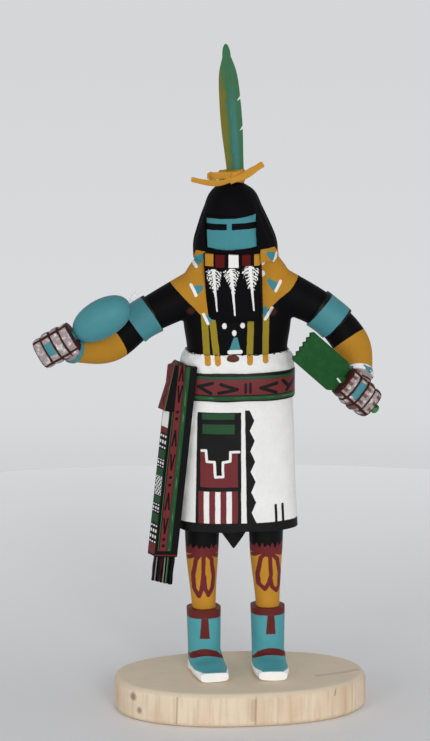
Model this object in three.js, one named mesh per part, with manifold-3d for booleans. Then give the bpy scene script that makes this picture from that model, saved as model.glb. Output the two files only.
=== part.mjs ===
// A carved and painted wooden dancer figure on an oval wood slab.
// Millimetres, +Z up. The origin is the centre of the slab's underside and the figure faces -Y.
import * as THREE from 'three';
import { mergeVertices } from 'three/addons/utils/BufferGeometryUtils.js';
import Module from 'manifold-3d';

// Clearance between two pieces that touch.
const seatGap = 0.3;

// Oval slab.
const baseLength = 114;
const baseDepth = 74;
const baseThickness = 15.5;
const baseEdgeRound = 3;
const baseSquareness = 2.25;

// Heights of the figure above the slab's top.
const cuffHeight = 28.6;
const kneeHeight = 55;
const hemHeight = 67.8;
const kiltLength = 59.6;
const beltHeight = 12.8;
const waistRollHeight = 8;
const shoulderHeight = 177;
const chestDrop = 15;
const collarRise = 6;
const neckHeight = 189;
const neckOverlap = 2;
const backHairRise = 6;
const crownHeight = 225.6;

// Widths and depths of the body.
const figureSide = -0.9;
const figureBack = 4;
const waistWidth = 44.6;
const chestWidth = 48;
const bodyDepth = 27;
const kiltTopWidth = 49.5;
const kiltHemWidth = 54.5;
const kiltDepth = 32.5;
const beltProud = 1.1;
const hemRim = 1.2;

// Legs and moccasins.
const legSpacing = 29;
const kneeWidth = 14.8;
const kneeShift = -0.9;
const ankleWidth = 10.6;
const legBack = 8;
const cuffWidth = 15.4;
const shaftWidth = 14.6;
const footLength = 32.6;
const footWidth = 15.6;
const toeTurn = THREE.MathUtils.degToRad(2.5);
const toeThickness = 5.6;
const heelBack = 15.5;

// Arms: upper arm, forearm and the two bands that each arm wears.
const armpitReach = 17;
const rightArmReach = 65;
const leftArmReach = 35.6;
const upperArmWidth = 15.9;
const elbowWidth = 16.4;
const wristWidth = 12.4;
const armbandProud = 0.9;
const armbandLength = 10.6;
const rightArmbandShare = 0.263;
const leftArmbandShare = 0.275;
const braceletProud = 0.8;
const braceletLength = 3.6;
const rightBraceletShare = 0.82;
const leftBraceletShare = 0.8;

// Fists.
const fistLength = 17.5;
const fistHeight = 15;
const fistDepth = 14;
const fingerCount = 4;
const fingerGroove = 0.13;
const thumbWidth = 5;

// Head.
const headWidth = 34.8;
const headDepth = 31;
const headTurn = THREE.MathUtils.degToRad(-14);
const headSide = -0.5;
const headLean = -2;
const hairLocks = 16;
const hairGroove = 0.035;
const backHairLength = 40;
const backHairThickness = 3.4;
const maskWidth = 23;
const maskHeight = 15;
const maskBottomHeight = 196;
const maskSink = 0.9;
const beardWidth = 24.6;
const beardLength = 30;
const beardThickness = 3;
const beardCorner = 3;

// Feather and the strip tied round its foot.
const featherLength = 60;
const featherWidth = 9.4;
const featherThickness = 2;
const featherFootWidth = 7;
const featherSocket = 4;
const featherLean = THREE.MathUtils.degToRad(-4.4);
const featherSide = 2.2;
const tieBandHeight = 4.4;
const tieBandWidth = 11.6;
const tieStripWidth = 2.8;
const tieStripLength = 13;

// Rattle and its down tuft.
const gourdLength = 28;
const gourdWidth = 17;
const rattleHandleWidth = 3.6;
const downTuftLength = 7;
const downTuftWidth = 2.6;

// Evergreen bough.
const boughLength = 25.5;
const boughWidth = 15.6;
const boughThickness = 3;
const boughTeeth = 6;
const boughToothDepth = 1.1;
const stemWidth = 4.2;
const stemStub = 4;

// Sash tail.
const sashLength = 101;
const sashBelowRoll = 5;
const sashStandoff = 3.6;
const sashFrontWidth = 9.2;
const sashSideWidth = 8.2;
const sashThickness = 5;
const sashDrift = 10.5;
const sashFringe = 14;
const fringeStrands = 5;
const flapLength = 21;
const flapProud = 2.4;

// Dark tip that hangs behind the legs.
const tailWidth = 12;
const tailThickness = 3;
const tailDrop = 15.4;

const baseTop = baseThickness;
const soleLevel = baseTop + seatGap;
const level = (height) => soleLevel + height;
const hemLevel = level(hemHeight);
const beltLevel = hemLevel + kiltLength;
const waistLevel = beltLevel + beltHeight;
const chestLevel = waistLevel + waistRollHeight;
const crownLevel = level(crownHeight);

const wasm = await Module();
wasm.setup();

/** Turns a closed geometry into a solid that can be joined and cut. */
function solidOf(geometry) {
  const bare = geometry.clone();
  bare.deleteAttribute('normal');
  bare.deleteAttribute('uv');
  const merged = mergeVertices(bare);
  return new wasm.Manifold(new wasm.Mesh({
    numProp: 3,
    vertProperties: new Float32Array(merged.attributes.position.array),
    triVerts: new Uint32Array(merged.index.array),
  }));
}

/** Turns a solid back into a geometry. */
function geometryOf(solid) {
  const mesh = solid.getMesh();
  const geometry = new THREE.BufferGeometry();
  geometry.setAttribute('position', new THREE.BufferAttribute(new Float32Array(mesh.vertProperties), 3));
  geometry.setIndex(new THREE.BufferAttribute(new Uint32Array(mesh.triVerts), 1));
  geometry.computeVertexNormals();
  return geometry;
}

/** Joins solids that overlap into one. */
function joined(solids) {
  return solids.reduce((whole, solid) => whole.add(solid));
}

/** Takes the later solids out of the first. */
function cut(solid, ...tools) {
  return tools.reduce((rest, tool) => rest.subtract(tool), solid);
}

const clean = (value) => Math.round(value * 1e7) / 1e7;

/** A closed bar whose section is round: place(t, c, s) takes the length's share and a disc point. */
function form(sides, steps, place) {
  const geometry = new THREE.CylinderGeometry(1, 1, 1, sides, steps);
  const position = geometry.attributes.position;
  for (let i = 0; i < position.count; i += 1) {
    const share = clean(position.getY(i) + 0.5);
    const point = place(share, clean(position.getX(i)), clean(-position.getZ(i)));
    position.setXYZ(i, point.x, point.y, point.z);
  }
  return solidOf(geometry);
}

/** A closed bar whose section is a drawn outline: place(x, y, t) moves each of its points. */
function strip(outline, steps, place) {
  const shape = new THREE.Shape(outline);
  const geometry = new THREE.ExtrudeGeometry(shape, { depth: 1, steps, bevelEnabled: false });
  const position = geometry.attributes.position;
  for (let i = 0; i < position.count; i += 1) {
    const point = place(position.getX(i), position.getY(i), clean(position.getZ(i)));
    position.setXYZ(i, point.x, point.y, point.z);
  }
  return solidOf(geometry);
}

/** Squares a circle's coordinate: 2 keeps it round, more makes it boxy. */
function squared(value, squareness) {
  return Math.sign(value) * Math.abs(value) ** (2 / squareness);
}

/** An upright body through stations { x, y, z, wide, deep }, grown on all sides by grow. */
function upright(stations, sides, steps, squareness, grow = 0) {
  const middle = new THREE.CatmullRomCurve3(stations.map((s) => new THREE.Vector3(s.x, s.y, s.z)));
  const spans = new THREE.CatmullRomCurve3(stations.map((s) => new THREE.Vector3(s.wide / 2, s.deep / 2, 0)));
  return form(sides, steps, (t, c, s) => {
    const centre = middle.getPoint(t);
    const span = spans.getPoint(t);
    const x = centre.x + squared(c, squareness) * (span.x + grow);
    const y = centre.y + squared(s, squareness) * (span.y + grow);
    return new THREE.Vector3(x, y, centre.z + (2 * t - 1) * grow);
  });
}

/** The part of a limb between two shares of its path, with its radius from width(t). */
function limb(path, from, to, width, sides, steps, grow = 0) {
  const up = new THREE.Vector3(0, 0, 1);
  return form(sides, steps, (t, c, s) => {
    const at = from + (to - from) * t;
    const tangent = path.getTangent(at);
    const side = new THREE.Vector3().crossVectors(up, tangent).normalize();
    const over = new THREE.Vector3().crossVectors(tangent, side);
    const radius = width(at) / 2 + grow;
    return path.getPoint(at).addScaledVector(side, radius * c).addScaledVector(over, radius * s);
  });
}

/** A smooth run of sizes at even shares of a length. */
function sizes(...values) {
  const curve = new THREE.SplineCurve(values.map((value, i) => new THREE.Vector2(i, value)));
  return (t) => curve.getPoint(Math.min(Math.max(t, 0), 1)).y;
}

/** A right-handed frame with its third axis along a direction and its first near another. */
function frameOf(along, near) {
  const axis = along.clone().normalize();
  const side = near.clone().addScaledVector(axis, -near.dot(axis)).normalize();
  const over = new THREE.Vector3().crossVectors(axis, side);
  return { axis, side, over };
}

/** The point of a frame at three distances from its centre. */
function inFrame(centre, frame, x, y, z) {
  return centre.clone().addScaledVector(frame.side, x).addScaledVector(frame.over, y).addScaledVector(frame.axis, z);
}

/** The oval slab with its two edges rounded. */
function slab() {
  const edgeSteps = 3;
  const steps = 2 * edgeSteps + 1;
  return form(56, steps, (t, c, s) => {
    const ring = Math.round(t * steps);
    const low = Math.min(ring, edgeSteps) / edgeSteps;
    const high = Math.min(steps - ring, edgeSteps) / edgeSteps;
    const bend = (Math.PI / 2) * (1 - Math.min(low, high));
    const inset = baseEdgeRound * (1 - Math.cos(bend));
    const lift = baseEdgeRound * (1 - Math.sin(bend));
    const x = squared(c, baseSquareness) * (baseLength / 2 - inset);
    const y = squared(s, baseSquareness) * (baseDepth / 2 - inset);
    return new THREE.Vector3(x, y, high < low ? baseThickness - lift : lift);
  });
}

const bodyAt = (z, wide, deep, x = 0, y = 0) => ({ x: figureSide + x, y: figureBack + y, z, wide, deep });

/** The chest from the waist to the neck. */
function torso() {
  const stations = [
    bodyAt(beltLevel, waistWidth, bodyDepth),
    bodyAt(chestLevel, waistWidth, bodyDepth),
    bodyAt(level(shoulderHeight - chestDrop), chestWidth, bodyDepth),
    bodyAt(level(shoulderHeight), chestWidth * 0.98, bodyDepth * 0.94),
    bodyAt(level(shoulderHeight + collarRise), chestWidth * 0.96, bodyDepth * 0.76),
    bodyAt(level(neckHeight + neckOverlap), headWidth * 1.02, bodyDepth * 0.74),
  ];
  return upright(stations, 24, 9, 2.5);
}

/** The kilt, also grown by a clearance where another piece rests on it. */
function kilt(grow = 0) {
  const stations = [
    bodyAt(hemLevel, kiltHemWidth, kiltDepth),
    bodyAt(hemLevel + kiltLength * 0.45, (kiltHemWidth + kiltTopWidth) / 2, kiltDepth * 0.97),
    bodyAt(beltLevel + hemRim, kiltTopWidth, kiltDepth * 0.95),
  ];
  return upright(stations, 28, 3, 2.6, grow);
}

/** A band round the hips, for the belt and the rough roll over it. */
function hipBand(bottom, top, proud, grow = 0) {
  const wide = kiltTopWidth + 2 * proud;
  const deep = kiltDepth * 0.95 + 2 * proud;
  return upright([bodyAt(bottom, wide, deep), bodyAt(top, wide, deep)], 28, 1, 2.6, grow);
}

function belt(grow = 0) {
  return hipBand(beltLevel, waistLevel, beltProud, grow);
}

/** The thick white roll between belt and chest, narrower at its upper edge. */
function waistRoll(grow = 0) {
  const wide = kiltTopWidth + beltProud;
  const deep = kiltDepth * 0.95;
  const stations = [
    bodyAt(waistLevel - hemRim, wide, deep),
    bodyAt(waistLevel + waistRollHeight * 0.5, wide, deep),
    bodyAt(chestLevel, waistWidth + hemRim, bodyDepth + hemRim),
  ];
  return upright(stations, 28, 3, 2.6, grow);
}

/** One leg, side is -1 at the figure's right and 1 at its left. */
function leg(side) {
  const foot = figureSide + (side * legSpacing) / 2;
  const knee = foot + kneeShift;
  const stations = [
    { x: foot, y: legBack, z: level(cuffHeight * 0.5), wide: ankleWidth, deep: ankleWidth },
    { x: foot, y: legBack, z: level(cuffHeight), wide: ankleWidth, deep: ankleWidth },
    { x: knee, y: legBack, z: level(kneeHeight), wide: kneeWidth, deep: kneeWidth },
    { x: knee, y: legBack, z: hemLevel + kiltLength * 0.2, wide: kneeWidth * 1.1, deep: kneeWidth * 1.1 },
  ];
  return upright(stations, 16, 4, 2);
}

/** The moccasin's shaft with its wide flat cuff. */
function shaft(side) {
  const x = figureSide + (side * legSpacing) / 2;
  const stations = [
    { x, y: legBack, z: soleLevel, wide: shaftWidth, deep: shaftWidth },
    { x, y: legBack, z: level(cuffHeight * 0.35), wide: shaftWidth, deep: shaftWidth },
    { x, y: legBack, z: level(cuffHeight), wide: cuffWidth, deep: cuffWidth },
  ];
  return upright(stations, 18, 3, 2.3);
}

/** The foot from heel to toe, flat below, rising over the instep. */
function foot(side) {
  const x = figureSide + (side * legSpacing) / 2;
  const rise = sizes(toeThickness * 0.8, toeThickness, toeThickness * 1.25, toeThickness * 2.2, toeThickness * 2);
  const wide = sizes(footWidth * 0.86, footWidth, footWidth, shaftWidth, shaftWidth * 0.8);
  return form(16, 8, (t, c, s) => {
    const forward = legBack - heelBack + footLength * (1 - t);
    const height = rise(t) / 2;
    const squareEnd = 1 - 0.18 * Math.max(0, 1 - t * 8);
    const across = -squared(c, 3) * (wide(t) / 2) * squareEnd;
    const z = soleLevel + height + squared(s, 3.2) * height;
    const turn = toeTurn * (side < 0 ? 2 : -0.4);
    return new THREE.Vector3(
      x + across * Math.cos(turn) + forward * Math.sin(turn),
      legBack - forward * Math.cos(turn) + across * Math.sin(turn),
      z,
    );
  });
}

const shoulders = {
  right: new THREE.Vector3(figureSide - armpitReach, figureBack, level(shoulderHeight - 1.5)),
  left: new THREE.Vector3(figureSide + armpitReach, figureBack, level(shoulderHeight - 1)),
};

/** The arm's path from inside the chest to the middle of the fist; its bends are shares of its reach. */
function armPath(shoulder, reach, ...bends) {
  const points = bends.map(([x, y, z]) => shoulder.clone().add(new THREE.Vector3(x, y, z).multiplyScalar(reach)));
  return new THREE.CatmullRomCurve3([shoulder, ...points]);
}

const rightArm = armPath(
  shoulders.right,
  rightArmReach,
  [-0.385, -0.03, -0.19],
  [-0.615, -0.077, -0.346],
  [-0.838, -0.246, -0.343],
  [-1, -0.354, -0.292],
);
const leftArm = armPath(
  shoulders.left,
  leftArmReach,
  [0.618, -0.084, -0.335],
  [0.944, -0.169, -0.716],
  [1, -0.421, -0.978],
  [0.944, -0.674, -1.23],
);

const rightFist = {
  centre: rightArm.getPoint(1),
  ...frameOf(new THREE.Vector3(0.84, -0.17, 0.53), new THREE.Vector3(-0.2, -1, 0.15)),
};
const leftFist = {
  centre: leftArm.getPoint(1),
  ...frameOf(new THREE.Vector3(-0.73, -0.14, 0.68), new THREE.Vector3(0.25, -1, 0.2)),
};

const armWidth = sizes(upperArmWidth * 1.2, upperArmWidth, elbowWidth, wristWidth, wristWidth * 0.9);

/** The share of an arm's path that a length of band takes. */
function bandShare(path, length) {
  return length / path.getLength();
}

/** An arm with its armband and bracelet. */
function arm(path, armbandMiddle, braceletMiddle) {
  const armbandHalf = bandShare(path, armbandLength) / 2;
  const braceletHalf = bandShare(path, braceletLength) / 2;
  const around = (middle, half, proud) => limb(path, middle - half, middle + half, armWidth, 16, 1, proud);
  const armband = around(armbandMiddle, armbandHalf, armbandProud);
  const bracelet = around(braceletMiddle, braceletHalf, braceletProud);
  return joined([limb(path, 0, 1, armWidth, 16, 10), armband, bracelet]);
}

/** A closed fist: one rounded roll along what it holds, with grooves between its fingers. */
function fist(hand) {
  const lobes = form(14, 4 * fingerCount, (t, c, s) => {
    const ripple = Math.sqrt(Math.abs(Math.sin(Math.PI * fingerCount * t)));
    const taper = 1 - 0.12 * (2 * t - 1) ** 2;
    const swell = taper * (1 - fingerGroove * (1 - ripple));
    const out = squared(c, 2.8) * (fistDepth / 2) * swell;
    const over = squared(s, 2.8) * (fistHeight / 2) * swell;
    return inFrame(hand.centre, hand, out, over, fistLength * (t - 0.5));
  });
  const thumbEnd = inFrame(hand.centre, hand, fistDepth * 0.3, fistHeight * 0.42, fistLength * 0.36);
  const thumbRoot = inFrame(hand.centre, hand, -fistDepth * 0.35, fistHeight * 0.3, fistLength * 0.3);
  const thumb = limb(new THREE.LineCurve3(thumbRoot, thumbEnd), 0, 1, () => thumbWidth, 8, 1);
  return joined([lobes, thumb]);
}

/** Turns a point of the head about the head's upright axis. */
function faceward(x, y, z) {
  const along = (z - level(neckHeight)) / (crownLevel - level(neckHeight));
  const px = figureSide + headSide + headLean * along;
  return new THREE.Vector3(
    px + x * Math.cos(headTurn) - y * Math.sin(headTurn),
    figureBack + x * Math.sin(headTurn) + y * Math.cos(headTurn),
    z,
  );
}

/** The head with its carved locks, smooth over the mask, grown or shrunk by grow. */
function head(grow = 0) {
  const neck = level(neckHeight + neckOverlap / 2);
  const wide = sizes(...[1.09, 1.066, 0.912, 0.735, 0.54, 0.08].map((share) => headWidth * share));
  const deep = sizes(...[1, 1, 0.985, 0.91, 0.7, 0.12].map((share) => headDepth * share));
  return form(2 * hairLocks, 9, (t, c, s) => {
    const z = neck + (crownLevel - neck) * (1 - (1 - t) ** 1.12);
    const front = Math.max(0, -s);
    const lock = Math.round((Math.atan2(s, c) / Math.PI) * hairLocks) % 2 === 0 ? 1 : 0;
    const groove = 1 - hairGroove * lock * (1 - front) * Math.sin(Math.PI * Math.min(1, 1.2 * t));
    const x = squared(c, 2.2) * (wide(t) / 2 + grow) * groove;
    const y = squared(s, 2.2) * (deep(t) / 2 + grow) * groove;
    return faceward(x, y, z);
  });
}

/** The shallow field that the mask's face is cut into, as deep everywhere as the mask is sunk. */
function maskField() {
  const bottom = level(maskBottomHeight);
  const half = maskWidth / 2;
  const outline = [
    new THREE.Vector2(-half, bottom),
    new THREE.Vector2(half, bottom),
    new THREE.Vector2(half, bottom + maskHeight),
    new THREE.Vector2(-half, bottom + maskHeight),
  ];
  return cut(strip(outline, 1, (x, z, t) => faceward(x, -headDepth * (0.3 + 0.4 * t), z)), head(-maskSink));
}

/** The beard panel: a block proud of the chest with round lower corners. */
function beard() {
  const top = level(maskBottomHeight) - 2;
  const bottom = top - beardLength;
  const half = beardWidth / 2;
  const shape = new THREE.Path();
  shape.moveTo(half, top);
  shape.lineTo(-half, top);
  shape.absarc(-half + beardCorner, bottom + beardCorner, beardCorner, Math.PI, 1.5 * Math.PI);
  shape.absarc(half - beardCorner, bottom + beardCorner, beardCorner, 1.5 * Math.PI, 2 * Math.PI);
  const outline = shape.getPoints(3);
  const front = -headDepth / 2 - beardThickness * 0.4;
  return strip(outline, 1, (x, z, t) => {
    const bow = 0.012 * x * x;
    const y = front + bow + (1 - t) * (headDepth * 0.45);
    return faceward(x, y, z);
  });
}

/** The hair that falls down the back, with the same locks as the head. */
function backHair() {
  const top = level(neckHeight + backHairRise);
  const locks = hairLocks / 2;
  return form(4 * locks, 4, (t, c, s) => {
    const z = top - backHairLength * (1 - t);
    const lock = Math.round((Math.atan2(s, c) / Math.PI) * 2 * locks) % 2 === 0 ? 1 : 0;
    const groove = 1 - 2 * hairGroove * lock;
    const wide = (headWidth * (0.82 + 0.2 * t)) / 2;
    const deep = backHairThickness + t * 3;
    const y = figureBack + bodyDepth / 2 - 1 + squared(s, 2.4) * deep * groove;
    return new THREE.Vector3(figureSide + squared(c, 2.4) * wide * groove, y, z);
  });
}

/** The dark strip that hangs behind the kilt and ends in a point between the legs. */
function backTail() {
  const half = tailWidth / 2;
  const top = beltLevel + beltHeight / 2;
  const shoulderOfTip = hemLevel - tailDrop * 0.45;
  const outline = [
    new THREE.Vector2(-half, top),
    new THREE.Vector2(-half, shoulderOfTip),
    new THREE.Vector2(0, hemLevel - tailDrop),
    new THREE.Vector2(half, shoulderOfTip),
    new THREE.Vector2(half, top),
  ];
  const back = figureBack + kiltDepth / 2;
  return strip(outline, 1, (x, z, t) => {
    const y = back - tailThickness + 2 * tailThickness * (1 - t);
    return new THREE.Vector3(figureSide + x, y, z);
  });
}

const featherAxis = new THREE.Vector3(Math.sin(featherLean), 0, Math.cos(featherLean));
const crown = faceward(0, 0, crownLevel);
const featherFoot = crown.clone().add(new THREE.Vector3(featherSide, 0, -featherSocket));
const featherFrame = frameOf(featherAxis, new THREE.Vector3(1, 0, 0));

/** The feather's blade, also grown by a clearance for the hole that it stands in. */
function feather(grow = 0) {
  const wide = sizes(featherFootWidth, featherFootWidth * 1.15, featherWidth, featherWidth, featherWidth * 0.82, 0.8);
  const whole = featherLength + featherSocket;
  return form(10, 10, (t, c, s) => {
    const x = c * (wide(t) / 2 + grow);
    const y = s * ((featherThickness / 2) * (1 - 0.6 * t) + grow);
    return inFrame(featherFoot, featherFrame, x, y, whole * t + (2 * t - 1) * grow);
  });
}

/** A split in the feather's edge, at a share of its length. */
function featherSplit(share) {
  const tip = inFrame(featherFoot, featherFrame, featherWidth * 0.18, 0, featherLength * share - 3);
  const mouth = inFrame(featherFoot, featherFrame, featherWidth * 0.7, 0, featherLength * share + 1.5);
  return limb(new THREE.LineCurve3(tip, mouth), 0, 1, (t) => 0.3 + 1.2 * t, 6, 1);
}

/** A flat strip from one point to another, thinner at its far end. */
function tieStrip(from, to) {
  const frame = frameOf(to.clone().sub(from), new THREE.Vector3(0, 0, 1));
  const length = from.distanceTo(to);
  return form(8, 3, (t, c, s) => {
    const half = (tieStripWidth / 2) * (1 - 0.35 * t);
    return inFrame(from, frame, c * half, s * half * 1.4, length * t);
  });
}

const tieMiddle = crown.clone().add(new THREE.Vector3(0, 0, tieBandHeight * 0.3));

/** The tied strip: a band round the feather's foot, two ends and a loop. */
function crownTie() {
  const middle = tieMiddle;
  const band = form(20, 4, (t, c, s) => {
    const bulge = 1 + 0.25 * Math.sin(Math.PI * t);
    const half = tieBandWidth / 2;
    return new THREE.Vector3(
      middle.x + c * half * bulge,
      middle.y + s * half * 0.8 * bulge,
      middle.z + tieBandHeight * (t - 0.5),
    );
  });
  const leftEnd = middle.clone().add(new THREE.Vector3(-1.3, -0.15, -0.08).multiplyScalar(tieStripLength));
  const rightEnd = middle.clone().add(new THREE.Vector3(1, 0.15, 0.35).multiplyScalar(tieStripLength));
  const loopTop = middle.clone().add(new THREE.Vector3(-tieBandWidth * 0.62, -1, tieBandHeight * 0.65));
  const loop = form(12, 4, (t, c, s) => {
    const swell = Math.sin(Math.PI * (0.12 + 0.76 * t));
    const y = loopTop.y + s * tieStripWidth * swell;
    return new THREE.Vector3(loopTop.x + tieBandWidth * 0.9 * (t - 0.5), y, loopTop.z - c * tieStripWidth * 0.8 * swell);
  });
  return joined([band, loop, tieStrip(middle, leftEnd), tieStrip(middle, rightEnd)]);
}

const gourdStart = fistLength / 2 + 2 * seatGap;
const gourdMiddle = gourdStart + gourdLength / 2;

/** The rattle's egg and handle about the axis of the fist that holds it. */
function rattle(grow = 0) {
  const handle = rattleHandleWidth / 2 + grow;
  const profile = [new THREE.Vector2(0, -fistLength / 2 - grow), new THREE.Vector2(handle, -fistLength / 2 - grow)];
  const steps = 8;
  const lowest = Math.asin(Math.min(0.9, (2 * handle) / gourdWidth));
  for (let i = 0; i <= steps; i += 1) {
    const angle = lowest + ((Math.PI - lowest) * i) / steps;
    const radius = (gourdWidth / 2 + grow) * Math.sin(angle) ** 0.86;
    const height = gourdMiddle - (gourdLength / 2 + grow) * Math.cos(angle);
    profile.push(new THREE.Vector2(i === steps ? 0 : radius, height));
  }
  const lathe = new THREE.LatheGeometry(profile, 20);
  const position = lathe.attributes.position;
  for (let i = 0; i < position.count; i += 1) {
    const x = clean(position.getX(i));
    const z = clean(position.getZ(i));
    const point = inFrame(rightFist.centre, rightFist, x, -z, position.getY(i));
    position.setXYZ(i, point.x, point.y, point.z);
  }
  return solidOf(lathe);
}

/** The small down tuft that rises from the rattle's upper end. */
function downTuft() {
  const start = inFrame(rightFist.centre, rightFist, 0, 0, gourdMiddle + gourdLength / 2 + seatGap);
  const frame = frameOf(new THREE.Vector3(0.55, -0.05, 0.83), new THREE.Vector3(0, -1, 0));
  return form(8, 5, (t, c, s) => {
    const swell = 0.25 + 0.75 * Math.sin(Math.PI * Math.min(0.96, t * 0.8 + 0.1));
    return inFrame(start, frame, (c * downTuftWidth * swell) / 2, (s * downTuftWidth * swell) / 2, downTuftLength * t);
  });
}

/** The stem of the bough, also grown for the hole through the fist. */
function boughStem(grow = 0) {
  const from = -fistLength / 2 - stemStub;
  const to = fistLength / 2 + seatGap + boughThickness;
  return form(12, 1, (t, c, s) => {
    const radius = stemWidth / 2 + grow;
    return inFrame(leftFist.centre, leftFist, c * radius, s * radius, from + (to - from) * t);
  });
}

/** The bough's flat leaf mass with a toothed end. */
function bough() {
  const start = fistLength / 2 + 2 * seatGap;
  const half = boughWidth / 2;
  const outline = [new THREE.Vector2(-half * 0.75, 0), new THREE.Vector2(half * 0.8, 0), new THREE.Vector2(half, 3)];
  for (let i = 0; i <= 2 * boughTeeth; i += 1) {
    const x = half - (boughWidth * i) / (2 * boughTeeth);
    const dip = i % 2 === 1 ? boughToothDepth : 0;
    outline.push(new THREE.Vector2(x, boughLength - dip));
  }
  outline.push(new THREE.Vector2(-half, 3));
  const leaves = strip(outline, 1, (x, along, t) => (
    inFrame(leftFist.centre, leftFist, boughThickness * (t - 0.5), x, start + along)
  ));
  return joined([leaves, boughStem()]);
}

const sashTop = chestLevel - sashBelowRoll;
const sashRidge = new THREE.Vector2(figureSide - kiltTopWidth / 2 - sashStandoff, figureBack - kiltDepth * 0.41);

/** The sash's section in plan, from its front right corner round the outside and back. */
function sashOutline(proud = 0) {
  const sideways = sashSideWidth * 0.42 + proud;
  const backward = sashSideWidth * 0.9;
  return [
    new THREE.Vector2(sashFrontWidth, -1.4 + sashThickness),
    new THREE.Vector2(0.6, sashThickness + backward),
    new THREE.Vector2(-sideways, backward),
    new THREE.Vector2(-0.6 - proud, 0.2),
    new THREE.Vector2(0.4, -0.3 - proud * 0.3),
    new THREE.Vector2(sashFrontWidth - 0.5, -1.4),
    new THREE.Vector2(sashFrontWidth, -1),
  ];
}

/** Where the sash hangs: it drifts outward from the hip to its foot. */
function sashPoint(x, y, z) {
  const down = (sashTop - z) / sashLength;
  return new THREE.Vector3(sashRidge.x + x - sashDrift * down, sashRidge.y + y + 2 * down, z);
}

/** The hip sash: long tail, short folded end on its outside and a fringe below. */
function sash() {
  const bandBottom = sashTop - sashLength + sashFringe;
  const tail = strip(sashOutline(), 6, (x, y, t) => sashPoint(x, y, bandBottom + (sashTop - bandBottom) * t));
  const fold = strip(sashOutline(flapProud), 3, (x, y, t) => {
    const z = sashTop + 1 - flapLength * (1 - t);
    const close = 1 - 0.75 * t;
    const near = x > 0.5 ? x * 0.4 : x * close;
    return sashPoint(near, y, z);
  });
  const strand = sashFrontWidth / fringeStrands;
  const strands = [];
  for (let i = 0; i < fringeStrands; i += 1) {
    const middle = strand * (i + 0.5) - 0.8;
    const ends = sashFringe * (0.86 + 0.14 * (i / (fringeStrands - 1)));
    strands.push(form(8, 2, (t, c, s) => (
      sashPoint(middle + c * strand * 0.62, sashThickness * (0.5 + s * 0.42), bandBottom + 1 - ends * (1 - t))
    )));
  }
  return cut(joined([tail, fold, ...strands]), kilt(seatGap), belt(seatGap), waistRoll(seatGap));
}

/** The whole carved figure, with its holes for feather, rattle handle and bough stem. */
function figure() {
  const whole = joined([
    torso(), kilt(), belt(), waistRoll(), backTail(), backHair(), head(), beard(),
    ...[-1, 1].flatMap((side) => [leg(side), shaft(side), foot(side)]),
    arm(rightArm, rightArmbandShare, rightBraceletShare),
    arm(leftArm, leftArmbandShare, leftBraceletShare),
    fist(rightFist),
    fist(leftFist),
  ]);
  return cut(whole, maskField(), feather(seatGap), rattle(seatGap), boughStem(seatGap), crownTieSeat());
}

/** The room that the tied strip needs on the crown. */
function crownTieSeat() {
  const middle = tieMiddle;
  return form(20, 1, (t, c, s) => new THREE.Vector3(
    middle.x + c * (tieBandWidth * 0.625 + seatGap),
    middle.y + s * (tieBandWidth * 0.5 + seatGap),
    middle.z - tieBandHeight / 2 - seatGap + tieBandHeight * 3 * t,
  ));
}

const paints = {
  paleWood: { color: 0xdcc6a0, roughness: 0.75 },
  blackPaint: { color: 0x141216, roughness: 0.5 },
  sashRed: { color: 0x7a2c34, roughness: 0.5 },
  featherGreen: { color: 0x3f8a5a, roughness: 0.6 },
  ochre: { color: 0xc38a25, roughness: 0.55 },
  turquoise: { color: 0x4a8c94, roughness: 0.5 },
  down: { color: 0xf0efec, roughness: 0.9 },
  boughGreen: { color: 0x27602c, roughness: 0.6 },
};

const doll = new THREE.Group();

/** Adds a solid to the doll as a named mesh with its own paint. */
function place(name, solid, paint) {
  const mesh = new THREE.Mesh(geometryOf(solid), new THREE.MeshStandardMaterial({ ...paint, metalness: 0 }));
  mesh.name = name;
  doll.add(mesh);
}

place('wood_base', slab(), paints.paleWood);
place('carved_figure', figure(), paints.blackPaint);
place('sash_tail', sash(), paints.sashRed);
place('head_feather', cut(feather(), featherSplit(0.5), featherSplit(0.72)), paints.featherGreen);
place('crown_tie', cut(crownTie(), feather(seatGap)), paints.ochre);
place('gourd_rattle', rattle(), paints.turquoise);
place('rattle_down_feather', downTuft(), paints.down);
place('evergreen_bough', bough(), paints.boughGreen);

export default doll;
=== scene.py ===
"""A carved and painted wooden dancer figure on an oval slab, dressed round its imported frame.

Sizes are in millimetres, +Z up, with the origin under the slab's centre. The figure faces -Y.
"""

import math

import bpy
import numpy as np
from bpy.props import FloatProperty, FloatVectorProperty, IntProperty, PointerProperty
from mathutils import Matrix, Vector


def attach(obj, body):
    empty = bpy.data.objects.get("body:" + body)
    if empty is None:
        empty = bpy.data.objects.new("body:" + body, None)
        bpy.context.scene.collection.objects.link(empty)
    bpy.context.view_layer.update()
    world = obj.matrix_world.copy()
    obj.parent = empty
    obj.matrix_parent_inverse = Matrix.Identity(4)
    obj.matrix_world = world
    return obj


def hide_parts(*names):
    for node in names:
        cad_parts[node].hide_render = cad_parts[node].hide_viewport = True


bl_info = {
    "name": "Carved dancer figure",
    "version": (1, 0, 0),
    "blender": (4, 5, 0),
    "location": "3D View > Sidebar > Carved figure",
    "description": "Dresses the carved dancer's frame with relief, painted finishes and a stage",
    "category": "Object",
}

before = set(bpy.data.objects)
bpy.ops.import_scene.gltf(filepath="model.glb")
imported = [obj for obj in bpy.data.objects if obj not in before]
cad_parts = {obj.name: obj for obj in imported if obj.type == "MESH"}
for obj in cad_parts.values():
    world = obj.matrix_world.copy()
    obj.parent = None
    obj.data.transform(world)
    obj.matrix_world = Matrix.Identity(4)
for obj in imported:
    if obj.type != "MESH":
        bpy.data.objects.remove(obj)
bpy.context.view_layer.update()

MM = 0.001
TAU = 2 * math.pi

# Clearance between pieces that touch.
SEAT_GAP = 0.3

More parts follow.
